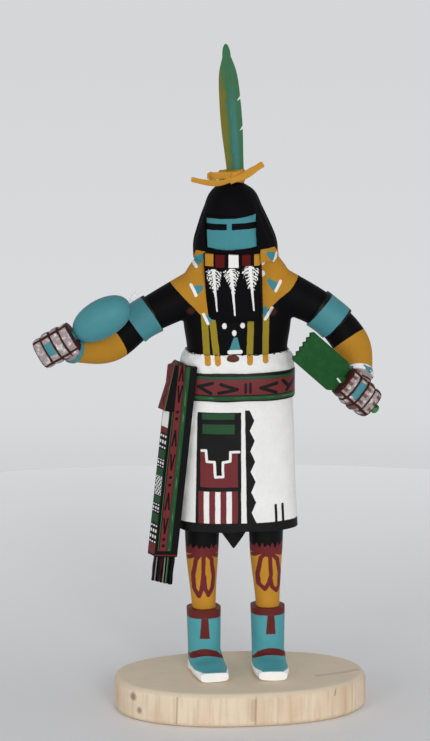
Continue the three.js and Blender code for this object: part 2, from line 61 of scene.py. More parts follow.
# The slab.
SLAB_LENGTH, SLAB_DEPTH, SLAB_THICKNESS = 114, 74, 15.5
SLAB_SQUARENESS = 2.25

# Levels of the figure above the ground.
SOLE = SLAB_THICKNESS + SEAT_GAP
CUFF = SOLE + 28.6
KNEE = SOLE + 55
HEM = SOLE + 67.8
KILT_LENGTH = 59.6
BELT_BOTTOM = HEM + KILT_LENGTH
BELT_TOP = BELT_BOTTOM + 12.8
ROLL_TOP = BELT_TOP + 8
SHOULDER = SOLE + 177
CHEST_DROP, COLLAR_RISE = 15, 6
NECK = SOLE + 189
NECK_OVERLAP, BACK_HAIR_RISE = 2, 6
CROWN = SOLE + 225.6
MASK_BOTTOM = SOLE + 196

# Where the figure stands, and its widths and depths.
SIDE, BACK = -0.9, 4
WAIST_WIDTH, CHEST_WIDTH, BODY_DEPTH = 44.6, 48, 27
KILT_TOP, KILT_HEM, KILT_DEPTH = 49.5, 54.5, 32.5
KILT_TOP_DEPTH, KILT_SQUARENESS = KILT_DEPTH * 0.95, 2.6
BELT_PROUD, HEM_RIM = 1.1, 1.2
LEG_SPACING, KNEE_WIDTH, KNEE_SHIFT, ANKLE_WIDTH, LEG_BACK = 29, 14.8, -0.9, 10.6, 8
CUFF_WIDTH, SHAFT_WIDTH = 15.4, 14.6
FOOT_LENGTH, FOOT_WIDTH, TOE_THICKNESS, HEEL_BACK = 32.6, 15.6, 5.6, 15.5
TOE_TURN = math.radians(2.5)

# Arms and fists.
ARMPIT_REACH, RIGHT_REACH, LEFT_REACH = 17, 65, 35.6
UPPER_ARM, ELBOW, WRIST = 15.9, 16.4, 12.4
ARMBAND_PROUD, ARMBAND_LENGTH = 0.9, 10.6
BRACELET_PROUD, BRACELET_LENGTH = 0.8, 3.6
FIST_LENGTH, FIST_HEIGHT, FIST_DEPTH = 17.5, 15, 14
FINGERS = 4
THUMB_WIDTH = 5

# Head, hair and beard.
HEAD_WIDTH, HEAD_DEPTH, HEAD_SIDE, HEAD_LEAN = 34.8, 31, -0.5, -2
HEAD_TURN = math.radians(-14)
HAIR_LOCKS = 16
BACK_HAIR_LENGTH, BACK_HAIR_THICKNESS = 40, 3.4
MASK_WIDTH, MASK_HEIGHT, MASK_SINK = 23, 15, 0.9
BEARD_WIDTH, BEARD_LENGTH, BEARD_THICKNESS, BEARD_CORNER = 24.6, 30, 3, 3

# Feather, tie, rattle, bough.
FEATHER_LENGTH, FEATHER_WIDTH, FEATHER_THICKNESS, FEATHER_FOOT = 60, 9.4, 2, 7
FEATHER_SOCKET, FEATHER_SIDE = 4, 2.2
FEATHER_LEAN = math.radians(-4.4)
TIE_HEIGHT, TIE_WIDTH, TIE_STRIP, TIE_LENGTH = 4.4, 11.6, 2.8, 13
GOURD_LENGTH, GOURD_WIDTH, HANDLE_WIDTH = 28, 17, 3.6
TUFT_LENGTH, TUFT_WIDTH = 7, 2.6
BOUGH_LENGTH, BOUGH_WIDTH, BOUGH_THICKNESS, BOUGH_TEETH, BOUGH_TOOTH = 25.5, 15.6, 3, 6, 1.1
STEM_WIDTH, STEM_STUB = 4.2, 4

# Sash and the dark strip behind the kilt.
SASH_LENGTH, SASH_BELOW_ROLL, SASH_FRONT, SASH_SIDE, SASH_THICKNESS = 101, 5, 9.2, 8.2, 5
SASH_DRIFT, SASH_FRINGE, FRINGE_STRANDS, FLAP_LENGTH, FLAP_PROUD = 10.5, 14, 5, 21, 2.4
TAIL_WIDTH, TAIL_THICKNESS, TAIL_DROP = 12, 3, 15.4

SASH_TOP = ROLL_TOP - SASH_BELOW_ROLL
SASH_STANDOFF = 3.6
SASH_RIDGE = (SIDE - KILT_TOP / 2 - SASH_STANDOFF, BACK - KILT_DEPTH * 0.41)


def vec(*values):
    return np.array(values, float)


def squared(value, squareness):
    """Squares a circle's coordinate: 2 keeps it round, more makes it boxy."""
    return np.sign(value) * np.abs(value) ** (2 / squareness)


def smooth(share):
    """An even start and end between 0 and 1."""
    share = np.clip(share, 0, 1)
    return share * share * (3 - 2 * share)


class Path:
    """A smooth curve through points, with its bends kept tight to them."""

    def __init__(self, *points):
        self.points = [vec(*p) for p in points]

    def at(self, share):
        points = self.points
        last = len(points) - 1
        place = min(max(share, 0), 1) * last
        i = min(int(place), last - 1)
        t = place - i
        before = points[i - 1] if i > 0 else 2 * points[0] - points[1]
        after = points[i + 2] if i + 2 <= last else 2 * points[last] - points[last - 1]
        a, b = points[i], points[i + 1]
        gaps = [np.dot(q - p, q - p) ** 0.25 for p, q in ((before, a), (a, b), (b, after))]
        middle = gaps[1] if gaps[1] > 1e-4 else 1.0
        first = gaps[0] if gaps[0] > 1e-4 else middle
        third = gaps[2] if gaps[2] > 1e-4 else middle
        leave = ((a - before) / first - (b - before) / (first + middle) + (b - a) / middle) * middle
        arrive = ((b - a) / middle - (after - a) / (middle + third) + (after - b) / third) * middle
        bend = 3 * (b - a) - 2 * leave - arrive
        return a + leave * t + bend * t * t + (2 * (a - b) + leave + arrive) * t ** 3

    def along(self, share):
        step = 1e-3
        run = self.at(min(share + step, 1)) - self.at(max(share - step, 0))
        return run / np.linalg.norm(run)

    def length(self):
        marks = np.array([self.at(t) for t in np.linspace(0, 1, 200)])
        return float(np.linalg.norm(np.diff(marks, axis=0), axis=1).sum())


def sizes(*values):
    """A smooth run of sizes at even shares of a length."""
    last = len(values) - 1

    def size(share):
        place = min(max(share, 0), 1) * last
        i = min(int(place), last - 1)
        t = place - i
        a, b = values[i], values[i + 1]
        before = values[max(i - 1, 0)]
        after = values[min(i + 2, last)]
        leave, arrive = (b - before) / 2, (after - a) / 2
        cubic = 2 * a - 2 * b + leave + arrive
        square = 3 * b - 3 * a - 2 * leave - arrive
        return cubic * t ** 3 + square * t * t + leave * t + a

    return size


class Hand:
    """A right-handed set of axes with its third along a direction and its first near another."""

    def __init__(self, centre, along, near):
        self.centre = vec(*centre)
        self.axis = vec(*along) / np.linalg.norm(along)
        side = vec(*near) - self.axis * np.dot(near, self.axis)
        self.side = side / np.linalg.norm(side)
        self.over = np.cross(self.axis, self.side)

    def put(self, x, y, z):
        x, y, z = np.broadcast_arrays(*[np.asarray(v, float)[..., None] for v in (x, y, z)])
        return self.centre + self.side * x + self.over * y + self.axis * z


class Solid:
    """A closed mesh of quads and triangles whose faces all wear one finish."""

    def __init__(self, points, quads, triangles, finish=""):
        self.points = np.asarray(points, float)
        self.quads = np.asarray(quads, int).reshape(-1, 4)
        self.triangles = np.asarray(triangles, int).reshape(-1, 3)
        self.finish = finish
        if self.volume() < 0:
            self.quads, self.triangles = self.quads[:, ::-1], self.triangles[:, ::-1]

    def volume(self):
        corners = np.concatenate([self.quads[:, :3], self.quads[:, [0, 2, 3]], self.triangles])
        a, b, c = (self.points[corners[:, k]] for k in range(3))
        return float(np.einsum("ij,ij->", a, np.cross(b, c)))

    def shaped(self, change):
        """The same mesh with its points moved by a function of an array of points."""
        return Solid(change(self.points), self.quads, self.triangles, self.finish)


def loft(rings, finish=""):
    """Closes a run of equal rings, each end by a fan about its middle."""
    count, last = len(rings[0]), len(rings) - 1
    points = np.concatenate([*rings, rings[0].mean(0)[None], rings[-1].mean(0)[None]])
    low, high = len(points) - 2, len(points) - 1
    j = np.arange(count)
    k = (j + 1) % count
    rows = np.arange(last)[:, None] * count
    quads = np.stack([rows + j, rows + k, rows + count + k, rows + count + j], axis=-1)
    ends = [np.stack([np.full(count, low), k, j], axis=-1)]
    ends.append(np.stack([np.full(count, high), last * count + j, last * count + k], axis=-1))
    return Solid(points, quads, np.concatenate(ends), finish)


def form(sides, steps, place, finish="", shares=None):
    """A closed bar with round sections: place(t, c, s) takes the length's share and disc points."""
    angle = np.arange(sides) * TAU / sides
    shares = np.linspace(0, 1, steps + 1) if shares is None else shares
    return loft([place(t, np.cos(angle), np.sin(angle)) for t in shares], finish)


def stacked(x, y, z):
    """Points from three values or arrays."""
    return np.stack(np.broadcast_arrays(*[np.asarray(v, float) for v in (x, y, z)]), axis=-1)


def rounded(corners, radius, spacing=0.5):
    """A closed outline with its corners rounded, resampled at even steps."""
    corners = [vec(*p) for p in corners]
    run = []
    for i, corner in enumerate(corners):
        a, b = corners[i - 1] - corner, corners[(i + 1) % len(corners)] - corner
        la, lb = np.linalg.norm(a), np.linalg.norm(b)
        start, end = corner + a / la * min(radius, la / 2), corner + b / lb * min(radius, lb / 2)
        for t in np.linspace(0, 1, 9):
            run.append((1 - t) ** 2 * start + 2 * t * (1 - t) * corner + t * t * end)
    run = np.array(run + [run[0]])
    far = np.concatenate([[0], np.cumsum(np.linalg.norm(np.diff(run, axis=0), axis=1))])
    count = max(8, int(far[-1] / spacing))
    marks = np.linspace(0, far[-1], count, endpoint=False)
    return np.stack([np.interp(marks, far, run[:, k]) for k in range(2)], axis=-1)


def inset(outline, distance):
    """An outline drawn in from its edge by a small distance."""
    run = np.roll(outline, -1, axis=0) - np.roll(outline, 1, axis=0)
    normal = np.stack([-run[:, 1], run[:, 0]], axis=-1)
    normal /= np.linalg.norm(normal, axis=1)[:, None]
    x, y = outline[:, 0], outline[:, 1]
    area = np.sum(x * np.roll(y, -1) - np.roll(x, -1) * y)
    return outline + normal * distance * (1 if area > 0 else -1)


def plate(outline, place, finish="", steps=1, edge=0.0, depth=1.0):
    """A bar whose section is a drawn outline, with the rims of its two ends rounded."""
    turns = np.linspace(0, math.pi / 2, 5)[:-1]
    rim = [(edge * (1 - math.cos(a)) / depth, edge * (1 - math.sin(a))) for a in turns]
    rim = rim if edge > 0 else []
    middle = [(t, 0.0) for t in np.linspace(edge / depth, 1 - edge / depth, steps + 1)]
    runs = rim + middle + [(1 - t, drawn) for t, drawn in reversed(rim)]
    rings = []
    for t, drawn in runs:
        ring = inset(outline, drawn) if drawn > 0 else outline
        rings.append(place(ring[:, 0], ring[:, 1], t))
    return loft(rings, finish)


def upright(stations, sides, steps, squareness, grow=0, finish="", shares=None):
    """An upright body through stations (x, y, z, wide, deep)."""
    middle = Path(*[(x, y, z) for x, y, z, _, _ in stations])
    spans = Path(*[(wide / 2, deep / 2, 0) for _, _, _, wide, deep in stations])

    def place(t, c, s):
        centre, span = middle.at(t), spans.at(t)
        x = centre[0] + squared(c, squareness) * (span[0] + grow)
        y = centre[1] + squared(s, squareness) * (span[1] + grow)
        return stacked(x, y, centre[2] + (2 * t - 1) * grow)

    return form(sides, steps, place, finish, shares)


def limb(path, start, end, width, sides, steps, finish="", swell=None):
    """The part of a limb between two shares of its path, with its radius from width(t)."""

    def place(t, c, s):
        at = start + (end - start) * t
        along = path.along(at)
        side = np.cross((0, 0, 1), along)
        side /= np.linalg.norm(side)
        over = np.cross(along, side)
        radius = width(at) / 2 + (swell(t) if swell else 0)
        return path.at(at) + np.outer(c * radius, side) + np.outer(s * radius, over)

    return form(sides, steps, place, finish)


def faceward(x, y, z):
    """Turns points of the head about the head's upright axis."""
    x, y, z = np.broadcast_arrays(x, y, z)
    centre = SIDE + HEAD_SIDE + HEAD_LEAN * (z - NECK) / (CROWN - NECK)
    return stacked(
        centre + x * math.cos(HEAD_TURN) - y * math.sin(HEAD_TURN),
        BACK + x * math.sin(HEAD_TURN) + y * math.cos(HEAD_TURN),
        z,
    )


def mesh_of(name, solid, finishes):
    """A Blender object in metres from a solid, with every finish as a slot."""
    mesh = bpy.data.meshes.new(name)
    mesh.from_pydata((solid.points * MM).tolist(), [], solid.quads.tolist() + solid.triangles.tolist())
    for material in finishes.values():
        mesh.materials.append(material)
    slot = list(finishes).index(solid.finish) if solid.finish in finishes else 0
    mesh.polygons.foreach_set("material_index", [slot] * len(mesh.polygons))
    mesh.update()
    thing = bpy.data.objects.new(name, mesh)
    bpy.context.scene.collection.objects.link(thing)
    return thing


def applied(thing):
    """Replaces an object's mesh by what its modifiers make of it."""
    graph = bpy.context.evaluated_depsgraph_get()
    made = bpy.data.meshes.new_from_object(thing.evaluated_get(graph))
    old = thing.data
    thing.modifiers.clear()
    thing.data = made
    made.name = thing.name
    bpy.data.meshes.remove(old)
    return thing


def carved(name, solids, finishes, cuts=(), crease=38):
    """One closed mesh from solids that overlap, less the cuts, with its edges sharp over a bend."""
    whole = solids[0] if isinstance(solids[0], bpy.types.Object) else mesh_of(name, solids[0], finishes)
    whole.name = name
    tools = []
    for kind, group in (("UNION", solids[1:]), ("DIFFERENCE", cuts)):
        for solid in group:
            tool = mesh_of(name + ".tool", solid, finishes)
            tools.append(tool)
            step = whole.modifiers.new("join", "BOOLEAN")
            step.operation = kind
            step.solver = "MANIFOLD"
            step.object = tool
    if tools:
        applied(whole)
    for tool in tools:
        mesh = tool.data
        bpy.data.objects.remove(tool)
        bpy.data.meshes.remove(mesh)
    mesh = whole.data
    if not mesh.polygons:
        raise RuntimeError(name + " came out empty")
    mesh.polygons.foreach_set("use_smooth", [True] * len(mesh.polygons))
    mesh.set_sharp_from_angle(angle=math.radians(crease))
    return whole


def remeshed(thing, size, rounds, slot):
    """One even skin over an object, smoothed so that what joins flows together."""
    step = thing.modifiers.new("skin", "REMESH")
    step.mode = "VOXEL"
    step.voxel_size = size * MM
    applied(thing)
    if rounds:
        step = thing.modifiers.new("soften", "SMOOTH")
        step.factor = 0.5
        step.iterations = rounds
        applied(thing)
    thing.data.polygons.foreach_set("material_index", [slot] * len(thing.data.polygons))
    return thing


def whittled(amount, size):
    """A change that leaves a surface with the soft unevenness of a knife."""

    def change(points):
        p = points / size
        ways = (vec(1, 0.6, 0.3), vec(-0.4, 1, 0.7), vec(0.5, -0.7, 1))
        moved = np.stack([np.sin(p @ np.roll(w, i) * 1.7 + i) for i, w in enumerate(ways)], axis=-1)
        return points + moved * amount

    return change


def finished(thing, node):
    """Says what a piece rides on, and hides the imported part that it stands for."""
    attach(thing, "root")
    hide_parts(node)


class Value:
    """A shader value that adds its own Math nodes when Python works with it."""

    def __init__(self, paint, socket):
        self.paint = paint
        self.socket = socket

    def _with(self, operation, *others, clamp=False):
        return self.paint.node("Math", {"operation": operation, "use_clamp": clamp}, *others)

    def __add__(self, other):
        return self._with("ADD", self, other)

    __radd__ = __add__

    def __sub__(self, other):
        return self._with("SUBTRACT", self, other)

    def __rsub__(self, other):
        return self._with("SUBTRACT", other, self)

    def __mul__(self, other):
        return self._with("MULTIPLY", self, other)

    __rmul__ = __mul__

    def __neg__(self):
        return self * -1

    def __abs__(self):
        return self._with("ABSOLUTE", self)

    def scaled(self, factor, shift, clamp=False):
        """This value times a factor, plus a shift."""
        return self._with("MULTIPLY_ADD", self, factor, shift, clamp=clamp)

    def least(self, other):
        return self._with("MINIMUM", self, other)

    def most(self, other):
        return self._with("MAXIMUM", self, other)

    def folded(self, length):
        """This value swinging up and down between 0 and a length."""
        return self._with("PINGPONG", self, length)


class Paint:
    """One painted finish: its material, its nodes and the colour laid on so far."""

    def __init__(self, name, roughness=0.5, wobble=0.22):
        self.material = bpy.data.materials.new(name)
        self.material.use_nodes = True
        self.nodes = self.material.node_tree.nodes
        self.links = self.material.node_tree.links
        self.nodes.clear()
        self.roughness = roughness
        self.colour = None
        self.raised = None
        self.wood = self.vector("SCALE", self.node("TexCoord", out="Object"), Scale=1 / MM)
        shake = self.node("TexNoise", {}, out="Color", Vector=self.wood, Scale=0.3, Detail=2.0)
        shake = self.vector("SUBTRACT", shake, (0.5, 0.5, 0.5))
        self.place = self.vector("ADD", self.wood, self.vector("SCALE", shake, Scale=2 * wobble))
        self.x, self.y, self.z = self.split(self.place)

    def node(self, kind, settings=None, *values, out=0, **named):
        """Any node: its type, its settings, then what goes into its sockets."""
        made = self.nodes.new("ShaderNode" + kind)
        for key, value in (settings or {}).items():
            setattr(made, key, value)
        for key, value in list(enumerate(values)) + list(named.items()):
            socket = made.inputs[key.replace("_", " ") if isinstance(key, str) else key]
            if isinstance(value, Value):
                self.links.new(value.socket, socket)
            else:
                socket.default_value = value
        return Value(self, made.outputs[out])

    def split(self, value):
        made = self.node("SeparateXYZ", {}, value)
        return [Value(self, socket) for socket in made.socket.node.outputs]

    def vector(self, operation, *values, out=0, **named):
        return self.node("VectorMath", {"operation": operation}, *values, out=out, **named)

    def mix(self, share, low, high, blend="MIX"):
        """The colour between two colours."""
        made = self.nodes.new("ShaderNodeMix")
        made.data_type = "RGBA"
        made.blend_type = blend
        for socket, value in ((made.inputs[0], share), (made.inputs[6], low), (made.inputs[7], high)):
            if isinstance(value, Value):
                self.links.new(value.socket, socket)
            else:
                socket.default_value = value if isinstance(value, (int, float)) else (*value, 1)[:4]
        return Value(self, made.outputs[2])

    def noise(self, scale, detail=2.0, stretch=None, where=None):
        """A cloud of values about 0.5, its scale in turns per millimetre."""
        where = where or self.wood
        if stretch:
            where = self.vector("MULTIPLY", where, stretch)
        return self.node("TexNoise", {}, Vector=where, Scale=scale, Detail=detail)

    def fill(self, distance, soft=0.16):
        """1 inside a drawn shape and 0 outside it, from the distance to its edge."""
        return distance.scaled(-1 / soft, 0.5, clamp=True)

    def box(self, u, v, low, high):
        """Distance to a rectangle between two corners."""
        across = abs(u - (low[0] + high[0]) / 2) - abs(high[0] - low[0]) / 2
        up = abs(v - (low[1] + high[1]) / 2) - abs(high[1] - low[1]) / 2
        return across.most(up)

    def band(self, value, low, high):
        """Distance to the strip between two values."""
        return abs(value - (low + high) / 2) - abs(high - low) / 2

    def disc(self, u, v, middle, radius, tall=1.0):
        """Distance to a disc, or to an oval that is tall times as high."""
        u, v = u - middle[0], (v - middle[1]) * (1 / tall)
        square = u * u + v * v
        return square._with("SQRT", square) - radius

    def line(self, u, v, points, width):
        """Distance to a bent line of a width through points."""
        nearest = None
        for (u0, v0), (u1, v1) in zip(points, points[1:]):
            run_u, run_v = u1 - u0, v1 - v0
            length = run_u * run_u + run_v * run_v
            along = u.scaled(run_u / length, -u0 * run_u / length - v0 * run_v / length)
            share = v._with("MULTIPLY_ADD", v, run_v / length, along, clamp=True)
            off_u = share._with("MULTIPLY_ADD", share, -run_u, u) - u0
            off_v = share._with("MULTIPLY_ADD", share, -run_v, v) - v0
            square = off_v._with("MULTIPLY_ADD", off_v, off_v, off_u * off_u)
            nearest = square if nearest is None else nearest.least(square)
        return nearest._with("SQRT", nearest) - width / 2

    def wedge(self, u, v, ends, narrow, wide):
        """Distance to a wedge from its narrow end to its wide end."""
        (u0, v0), (u1, v1) = ends
        length = math.hypot(u1 - u0, v1 - v0)
        run_u, run_v = (u1 - u0) / length, (v1 - v0) / length
        along = v._with("MULTIPLY_ADD", v, run_v, u.scaled(run_u, -u0 * run_u - v0 * run_v))
        across = v._with("MULTIPLY_ADD", v, run_u, u.scaled(-run_v, u0 * run_v - v0 * run_u))
        half = along.scaled((wide - narrow) / 2 / length, narrow / 2)
        return (abs(across) - half).most(self.band(along, 0, length))

    def mark(self, colour, distance, where):
        """Lays a colour inside a drawn shape, only as far as a second share lets it."""
        self.coat(colour, share=self.fill(distance) * where)

    def coat(self, colour, distance=None, soft=0.16, share=None):
        """Lays a colour over what is there, inside a drawn shape."""
        if distance is None and share is None:
            self.colour = self.mix(0.0, colour, colour)
            return
        share = self.fill(distance, soft) if share is None else share
        self.colour = self.mix(share, self.colour, colour)

    def done(self, strokes=(1, 1, 0.25), relief=0.09, tone=0.16, specular=0.2, glow=None):
        """Ends the finish: brushed tone, satin shine and the fine relief of paint on wood."""
        cloud = self.noise(0.12, 4.0)
        brush = self.noise(1.1, 3.0, stretch=strokes)
        shade = (cloud * tone + brush * tone * 0.7) + (1 - tone * 0.85)
        tint = self.node("CombineXYZ", {}, shade, shade, shade)
        colour = self.mix(1.0, self.colour, tint, blend="MULTIPLY")
        fine = self.noise(2.6, 2.0)
        height = brush.scaled(0.7, 0.0) + fine * 0.3
        bump = self.node("Bump", {}, Strength=0.55, Distance=relief * MM, Height=height)
        shine = brush.scaled(0.16, self.roughness - 0.08) + (cloud - 0.5) * 0.12
        shader = self.node(
            "BsdfPrincipled", {}, Base_Color=colour, Roughness=shine, Normal=bump,
        )
        shader.socket.node.inputs["Specular IOR Level"].default_value = specular
        if glow:
            self.links.new(glow.socket, shader.socket.node.inputs["Emission Color"])
            shader.socket.node.inputs["Emission Strength"].default_value = 1
        out = self.nodes.new("ShaderNodeOutputMaterial")
        self.links.new(shader.socket, out.inputs[0])
        return self.material


def linear(code):
    """A colour written as on screen, as the light that it gives back."""
    parts = [(code >> shift & 255) / 255 for shift in (16, 8, 0)]
    return tuple(p / 12.92 if p <= 0.04045 else ((p + 0.055) / 1.055) ** 2.4 for p in parts)


def paint_property(name, code, description):
    return FloatVectorProperty(
        name=name, description=description, default=linear(code), size=3, min=0, max=1, subtype="COLOR"
    )


class DollPaints(bpy.types.PropertyGroup):
    """The paints on the figure."""

    turquoise: paint_property("Turquoise", 0x488A92, "Mask, armbands, moccasins and rattle")
    moccasin: paint_property("Moccasin", 0x51A0A8, "The moccasins' turquoise")
    ochre: paint_property("Ochre", 0xC48C2E, "Legs and the crown tie")
    shoulder: paint_property("Shoulder ochre", 0xB9852C, "Shoulders, forearms and the ochre blocks")
    strand: paint_property("Strands", 0x97852C, "The thin strands of the necklace")
    maroon: paint_property("Maroon", 0x702A2D, "Belt, kilt panel, knee ties and sash")
    cuff: paint_property("Cuff maroon", 0x662320, "Cuffs and ties of the moccasins")
    brick: paint_property("Brick", 0x581618, "The dark red blocks under the mask")
    black: paint_property("Black", 0x0C0B0D, "Hair, body, beard and outlines")
    white: paint_property("White", 0xEDECEA, "Kilt, waist roll and small marks")
    green: paint_property("Band green", 0x234D2D, "The green lines of belt and sash")
    # Painted highlight: this bright green lays the light streaks on the green lines of belt and sash. It is
    # also the colour of a thin line along the sash's edge and of one fringe strand.
    bright_green_and_highlight: paint_property("Bright green", 0x4F8A50, "The light strokes on the green lines")
    olive_line: paint_property("Olive", 0x6C7040, "The line along the sash's fold")
    leaf: paint_property("Leaf green", 0x1E5026, "The evergreen bough")
    knuckle: paint_property("Knuckle", 0xA09492, "The pale paint of the hands")
    seam: paint_property("Seam", 0x43201F, "The dark lines between fingers")
    flesh: paint_property("Umber", 0x5A3326, "Navel and breast marks")
    feather_green: paint_property("Feather green", 0x3C6B4B, "Tip and right edge of the feather")
    feather_olive: paint_property("Feather olive", 0x706C24, "Left edge of the feather")
    feather_blue: paint_property("Feather blue", 0x3F7770, "The feather's lower middle")
    wood_pale: paint_property("Pale wood", 0xD9CAB2, "Early wood of the slab")
    wood_rim: paint_property("Rim wood", 0xE9D6BC, "Cut wood round the slab's rim")
    wood_warm: paint_property("Warm wood", 0xC79B74, "Warm patches on the rim")
    knot: paint_property("Knot", 0x7C5A42, "Knots and cracks")
    wood_dark: paint_property("Dark wood", 0xB8A084, "Late wood of the slab")


class DollSizes(bpy.types.PropertyGroup):
    """Sizes of the carving that a maker would change."""

    skin: FloatProperty(
        name="Skin spacing", description="Spacing of the body's even mesh", default=0.00066,
        min=0.0003, max=0.003, unit="LENGTH", subtype="DISTANCE",
    )
    whittle: FloatProperty(
        name="Knife marks", description="How far the knife left the surface uneven", default=0.00012,
        min=0, max=0.001, unit="LENGTH", subtype="DISTANCE",
    )
    slab_round: FloatProperty(
        name="Slab edge", description="Round of the slab's two edges", default=0.003,
        min=0.0005, max=0.007, unit="LENGTH", subtype="DISTANCE",
    )
    fringe_gap: FloatProperty(
        name="Fringe gap", description="Share of a fringe strand's width left open beside it", default=0.12,
        min=0, max=0.5, subtype="FACTOR",
    )
    tuft_barbs: IntProperty(
        name="Tuft barbs", description="Number of barbs of the white down tuft", default=36, min=8, max=90,
    )


class StageLook(bpy.types.PropertyGroup):
    """The floor and the light."""

    floor: paint_property("Floor", 0xF2F2F3, "The pale table top")
    wall: paint_property("Surround", 0xD9DADC, "The pale surround")
    overhead: FloatProperty(
        name="Overhead", description="Share of the surround's light that comes from straight above",
        default=0.45,
        min=0, max=1, subtype="FACTOR",
    )
    table_glow: FloatProperty(
        name="Far table light", description="Most light that the far side of the table adds of its own",
        default=0.22,
        min=0, max=1, subtype="FACTOR",
    )
    key: FloatProperty(
        name="Key light", description="Power of the large light in front", default=19, min=0, max=400,
        unit="POWER",
    )
    reach: FloatProperty(
        name="Table reach", description="How far the table goes from the figure", default=0.46,
        min=0.2, max=3, unit="LENGTH", subtype="DISTANCE",
    )


def body_at(z, wide, deep):
    return (SIDE, BACK, z, wide, deep)


def torso():
    """The chest from the waist to the neck."""
    stations = [
        body_at(BELT_BOTTOM, WAIST_WIDTH, BODY_DEPTH),
        body_at(ROLL_TOP, WAIST_WIDTH, BODY_DEPTH),
        body_at(SHOULDER - CHEST_DROP, CHEST_WIDTH, BODY_DEPTH),
        body_at(SHOULDER, CHEST_WIDTH * 0.98, BODY_DEPTH * 0.94),
        body_at(SHOULDER + COLLAR_RISE, CHEST_WIDTH * 0.96, BODY_DEPTH * 0.76),
        body_at(NECK + NECK_OVERLAP, HEAD_WIDTH * 1.02, BODY_DEPTH * 0.74),
    ]
    return upright(stations, 72, 60, 2.5, finish="body")


def kilt(grow=0):
    stations = [
        body_at(HEM, KILT_HEM, KILT_DEPTH),
        body_at(HEM + KILT_LENGTH * 0.45, (KILT_HEM + KILT_TOP) / 2, KILT_DEPTH * 0.97),
        body_at(BELT_BOTTOM + HEM_RIM, KILT_TOP, KILT_TOP_DEPTH),
    ]
    return upright(stations, 120, 48, KILT_SQUARENESS, grow, "kilt")


def hip_band(bottom, top, proud, grow, finish):
    wide, deep = KILT_TOP + 2 * proud, KILT_TOP_DEPTH + 2 * proud
    round_over = 0.7
    rings = []
    for z, out in ((bottom, -round_over), (bottom + 0.2, -0.2), (bottom + round_over, 0),
                   (top - round_over, 0), (top - 0.2, -0.2), (top, -round_over)):
        angle = np.arange(120) * TAU / 120
        x = SIDE + squared(np.cos(angle), KILT_SQUARENESS) * (wide / 2 + grow + out)
        y = BACK + squared(np.sin(angle), KILT_SQUARENESS) * (deep / 2 + grow + out)
        rings.append(stacked(x, y, z + (grow if z > (bottom + top) / 2 else -grow)))
    return loft(rings, finish)


def belt(grow=0):
    return hip_band(BELT_BOTTOM, BELT_TOP, BELT_PROUD, grow, "belt")


def waist_roll(grow=0):
    """The rough white roll over the belt, narrower at its upper edge."""
    wide, deep = KILT_TOP + BELT_PROUD, KILT_TOP_DEPTH
    stations = [
        body_at(BELT_TOP - HEM_RIM, wide, deep),
        body_at(BELT_TOP + (ROLL_TOP - BELT_TOP) * 0.5, wide, deep),
        body_at(ROLL_TOP, WAIST_WIDTH + HEM_RIM, BODY_DEPTH + HEM_RIM),
    ]
    solid = upright(stations, 160, 26, KILT_SQUARENESS, grow, "roll")
    if grow:
        return solid
    return solid.shaped(whittled(0.16, 1.7))


def leg(side):
    foot = SIDE + side * LEG_SPACING / 2
    knee = foot + KNEE_SHIFT
    stations = [
        (foot, LEG_BACK, SOLE + 14.3, ANKLE_WIDTH, ANKLE_WIDTH),
        (foot, LEG_BACK, CUFF, ANKLE_WIDTH, ANKLE_WIDTH),
        (knee, LEG_BACK, KNEE, KNEE_WIDTH, KNEE_WIDTH),
        (knee, LEG_BACK, HEM + KILT_LENGTH * 0.2, KNEE_WIDTH * 1.1, KNEE_WIDTH * 1.1),
    ]
    return upright(stations, 56, 44, 2, finish="leg")


def shaft(side):
    """The moccasin's shaft with its wide flat cuff."""
    x = SIDE + side * LEG_SPACING / 2
    stations = [
        (x, LEG_BACK, SOLE, SHAFT_WIDTH, SHAFT_WIDTH),
        (x, LEG_BACK, SOLE + 10, SHAFT_WIDTH, SHAFT_WIDTH),
        (x, LEG_BACK, CUFF, CUFF_WIDTH, CUFF_WIDTH),
    ]
    return upright(stations, 64, 36, 2.3, finish="moccasin")


def foot(side):
    """The foot from heel to toe, flat below, rising over the instep."""
    x = SIDE + side * LEG_SPACING / 2
    toe = TOE_THICKNESS
    rise = sizes(toe * 0.8, toe, toe * 1.25, toe * 2.2, toe * 2)
    wide = sizes(FOOT_WIDTH * 0.86, FOOT_WIDTH, FOOT_WIDTH, SHAFT_WIDTH, SHAFT_WIDTH * 0.8)
    turn = TOE_TURN * (2 if side < 0 else -0.4)

    def place(t, c, s):
        forward = LEG_BACK - HEEL_BACK + FOOT_LENGTH * (1 - t)
        height = rise(t) / 2
        square_end = 1 - 0.05 * max(0, 1 - t * 8)
        across = -squared(c, 3) * (wide(t) / 2) * square_end
        return stacked(
            x + across * math.cos(turn) + forward * math.sin(turn),
            LEG_BACK - forward * math.cos(turn) + across * math.sin(turn),
            SOLE + height + squared(s, 3.2) * height,
        )

    return form(56, 40, place, "moccasin")


def arm_path(side, drop, reach, *bends):
    start = vec(SIDE + side * ARMPIT_REACH, BACK, SHOULDER - drop)
    return Path(start, *[start + vec(*bend) * reach for bend in bends])


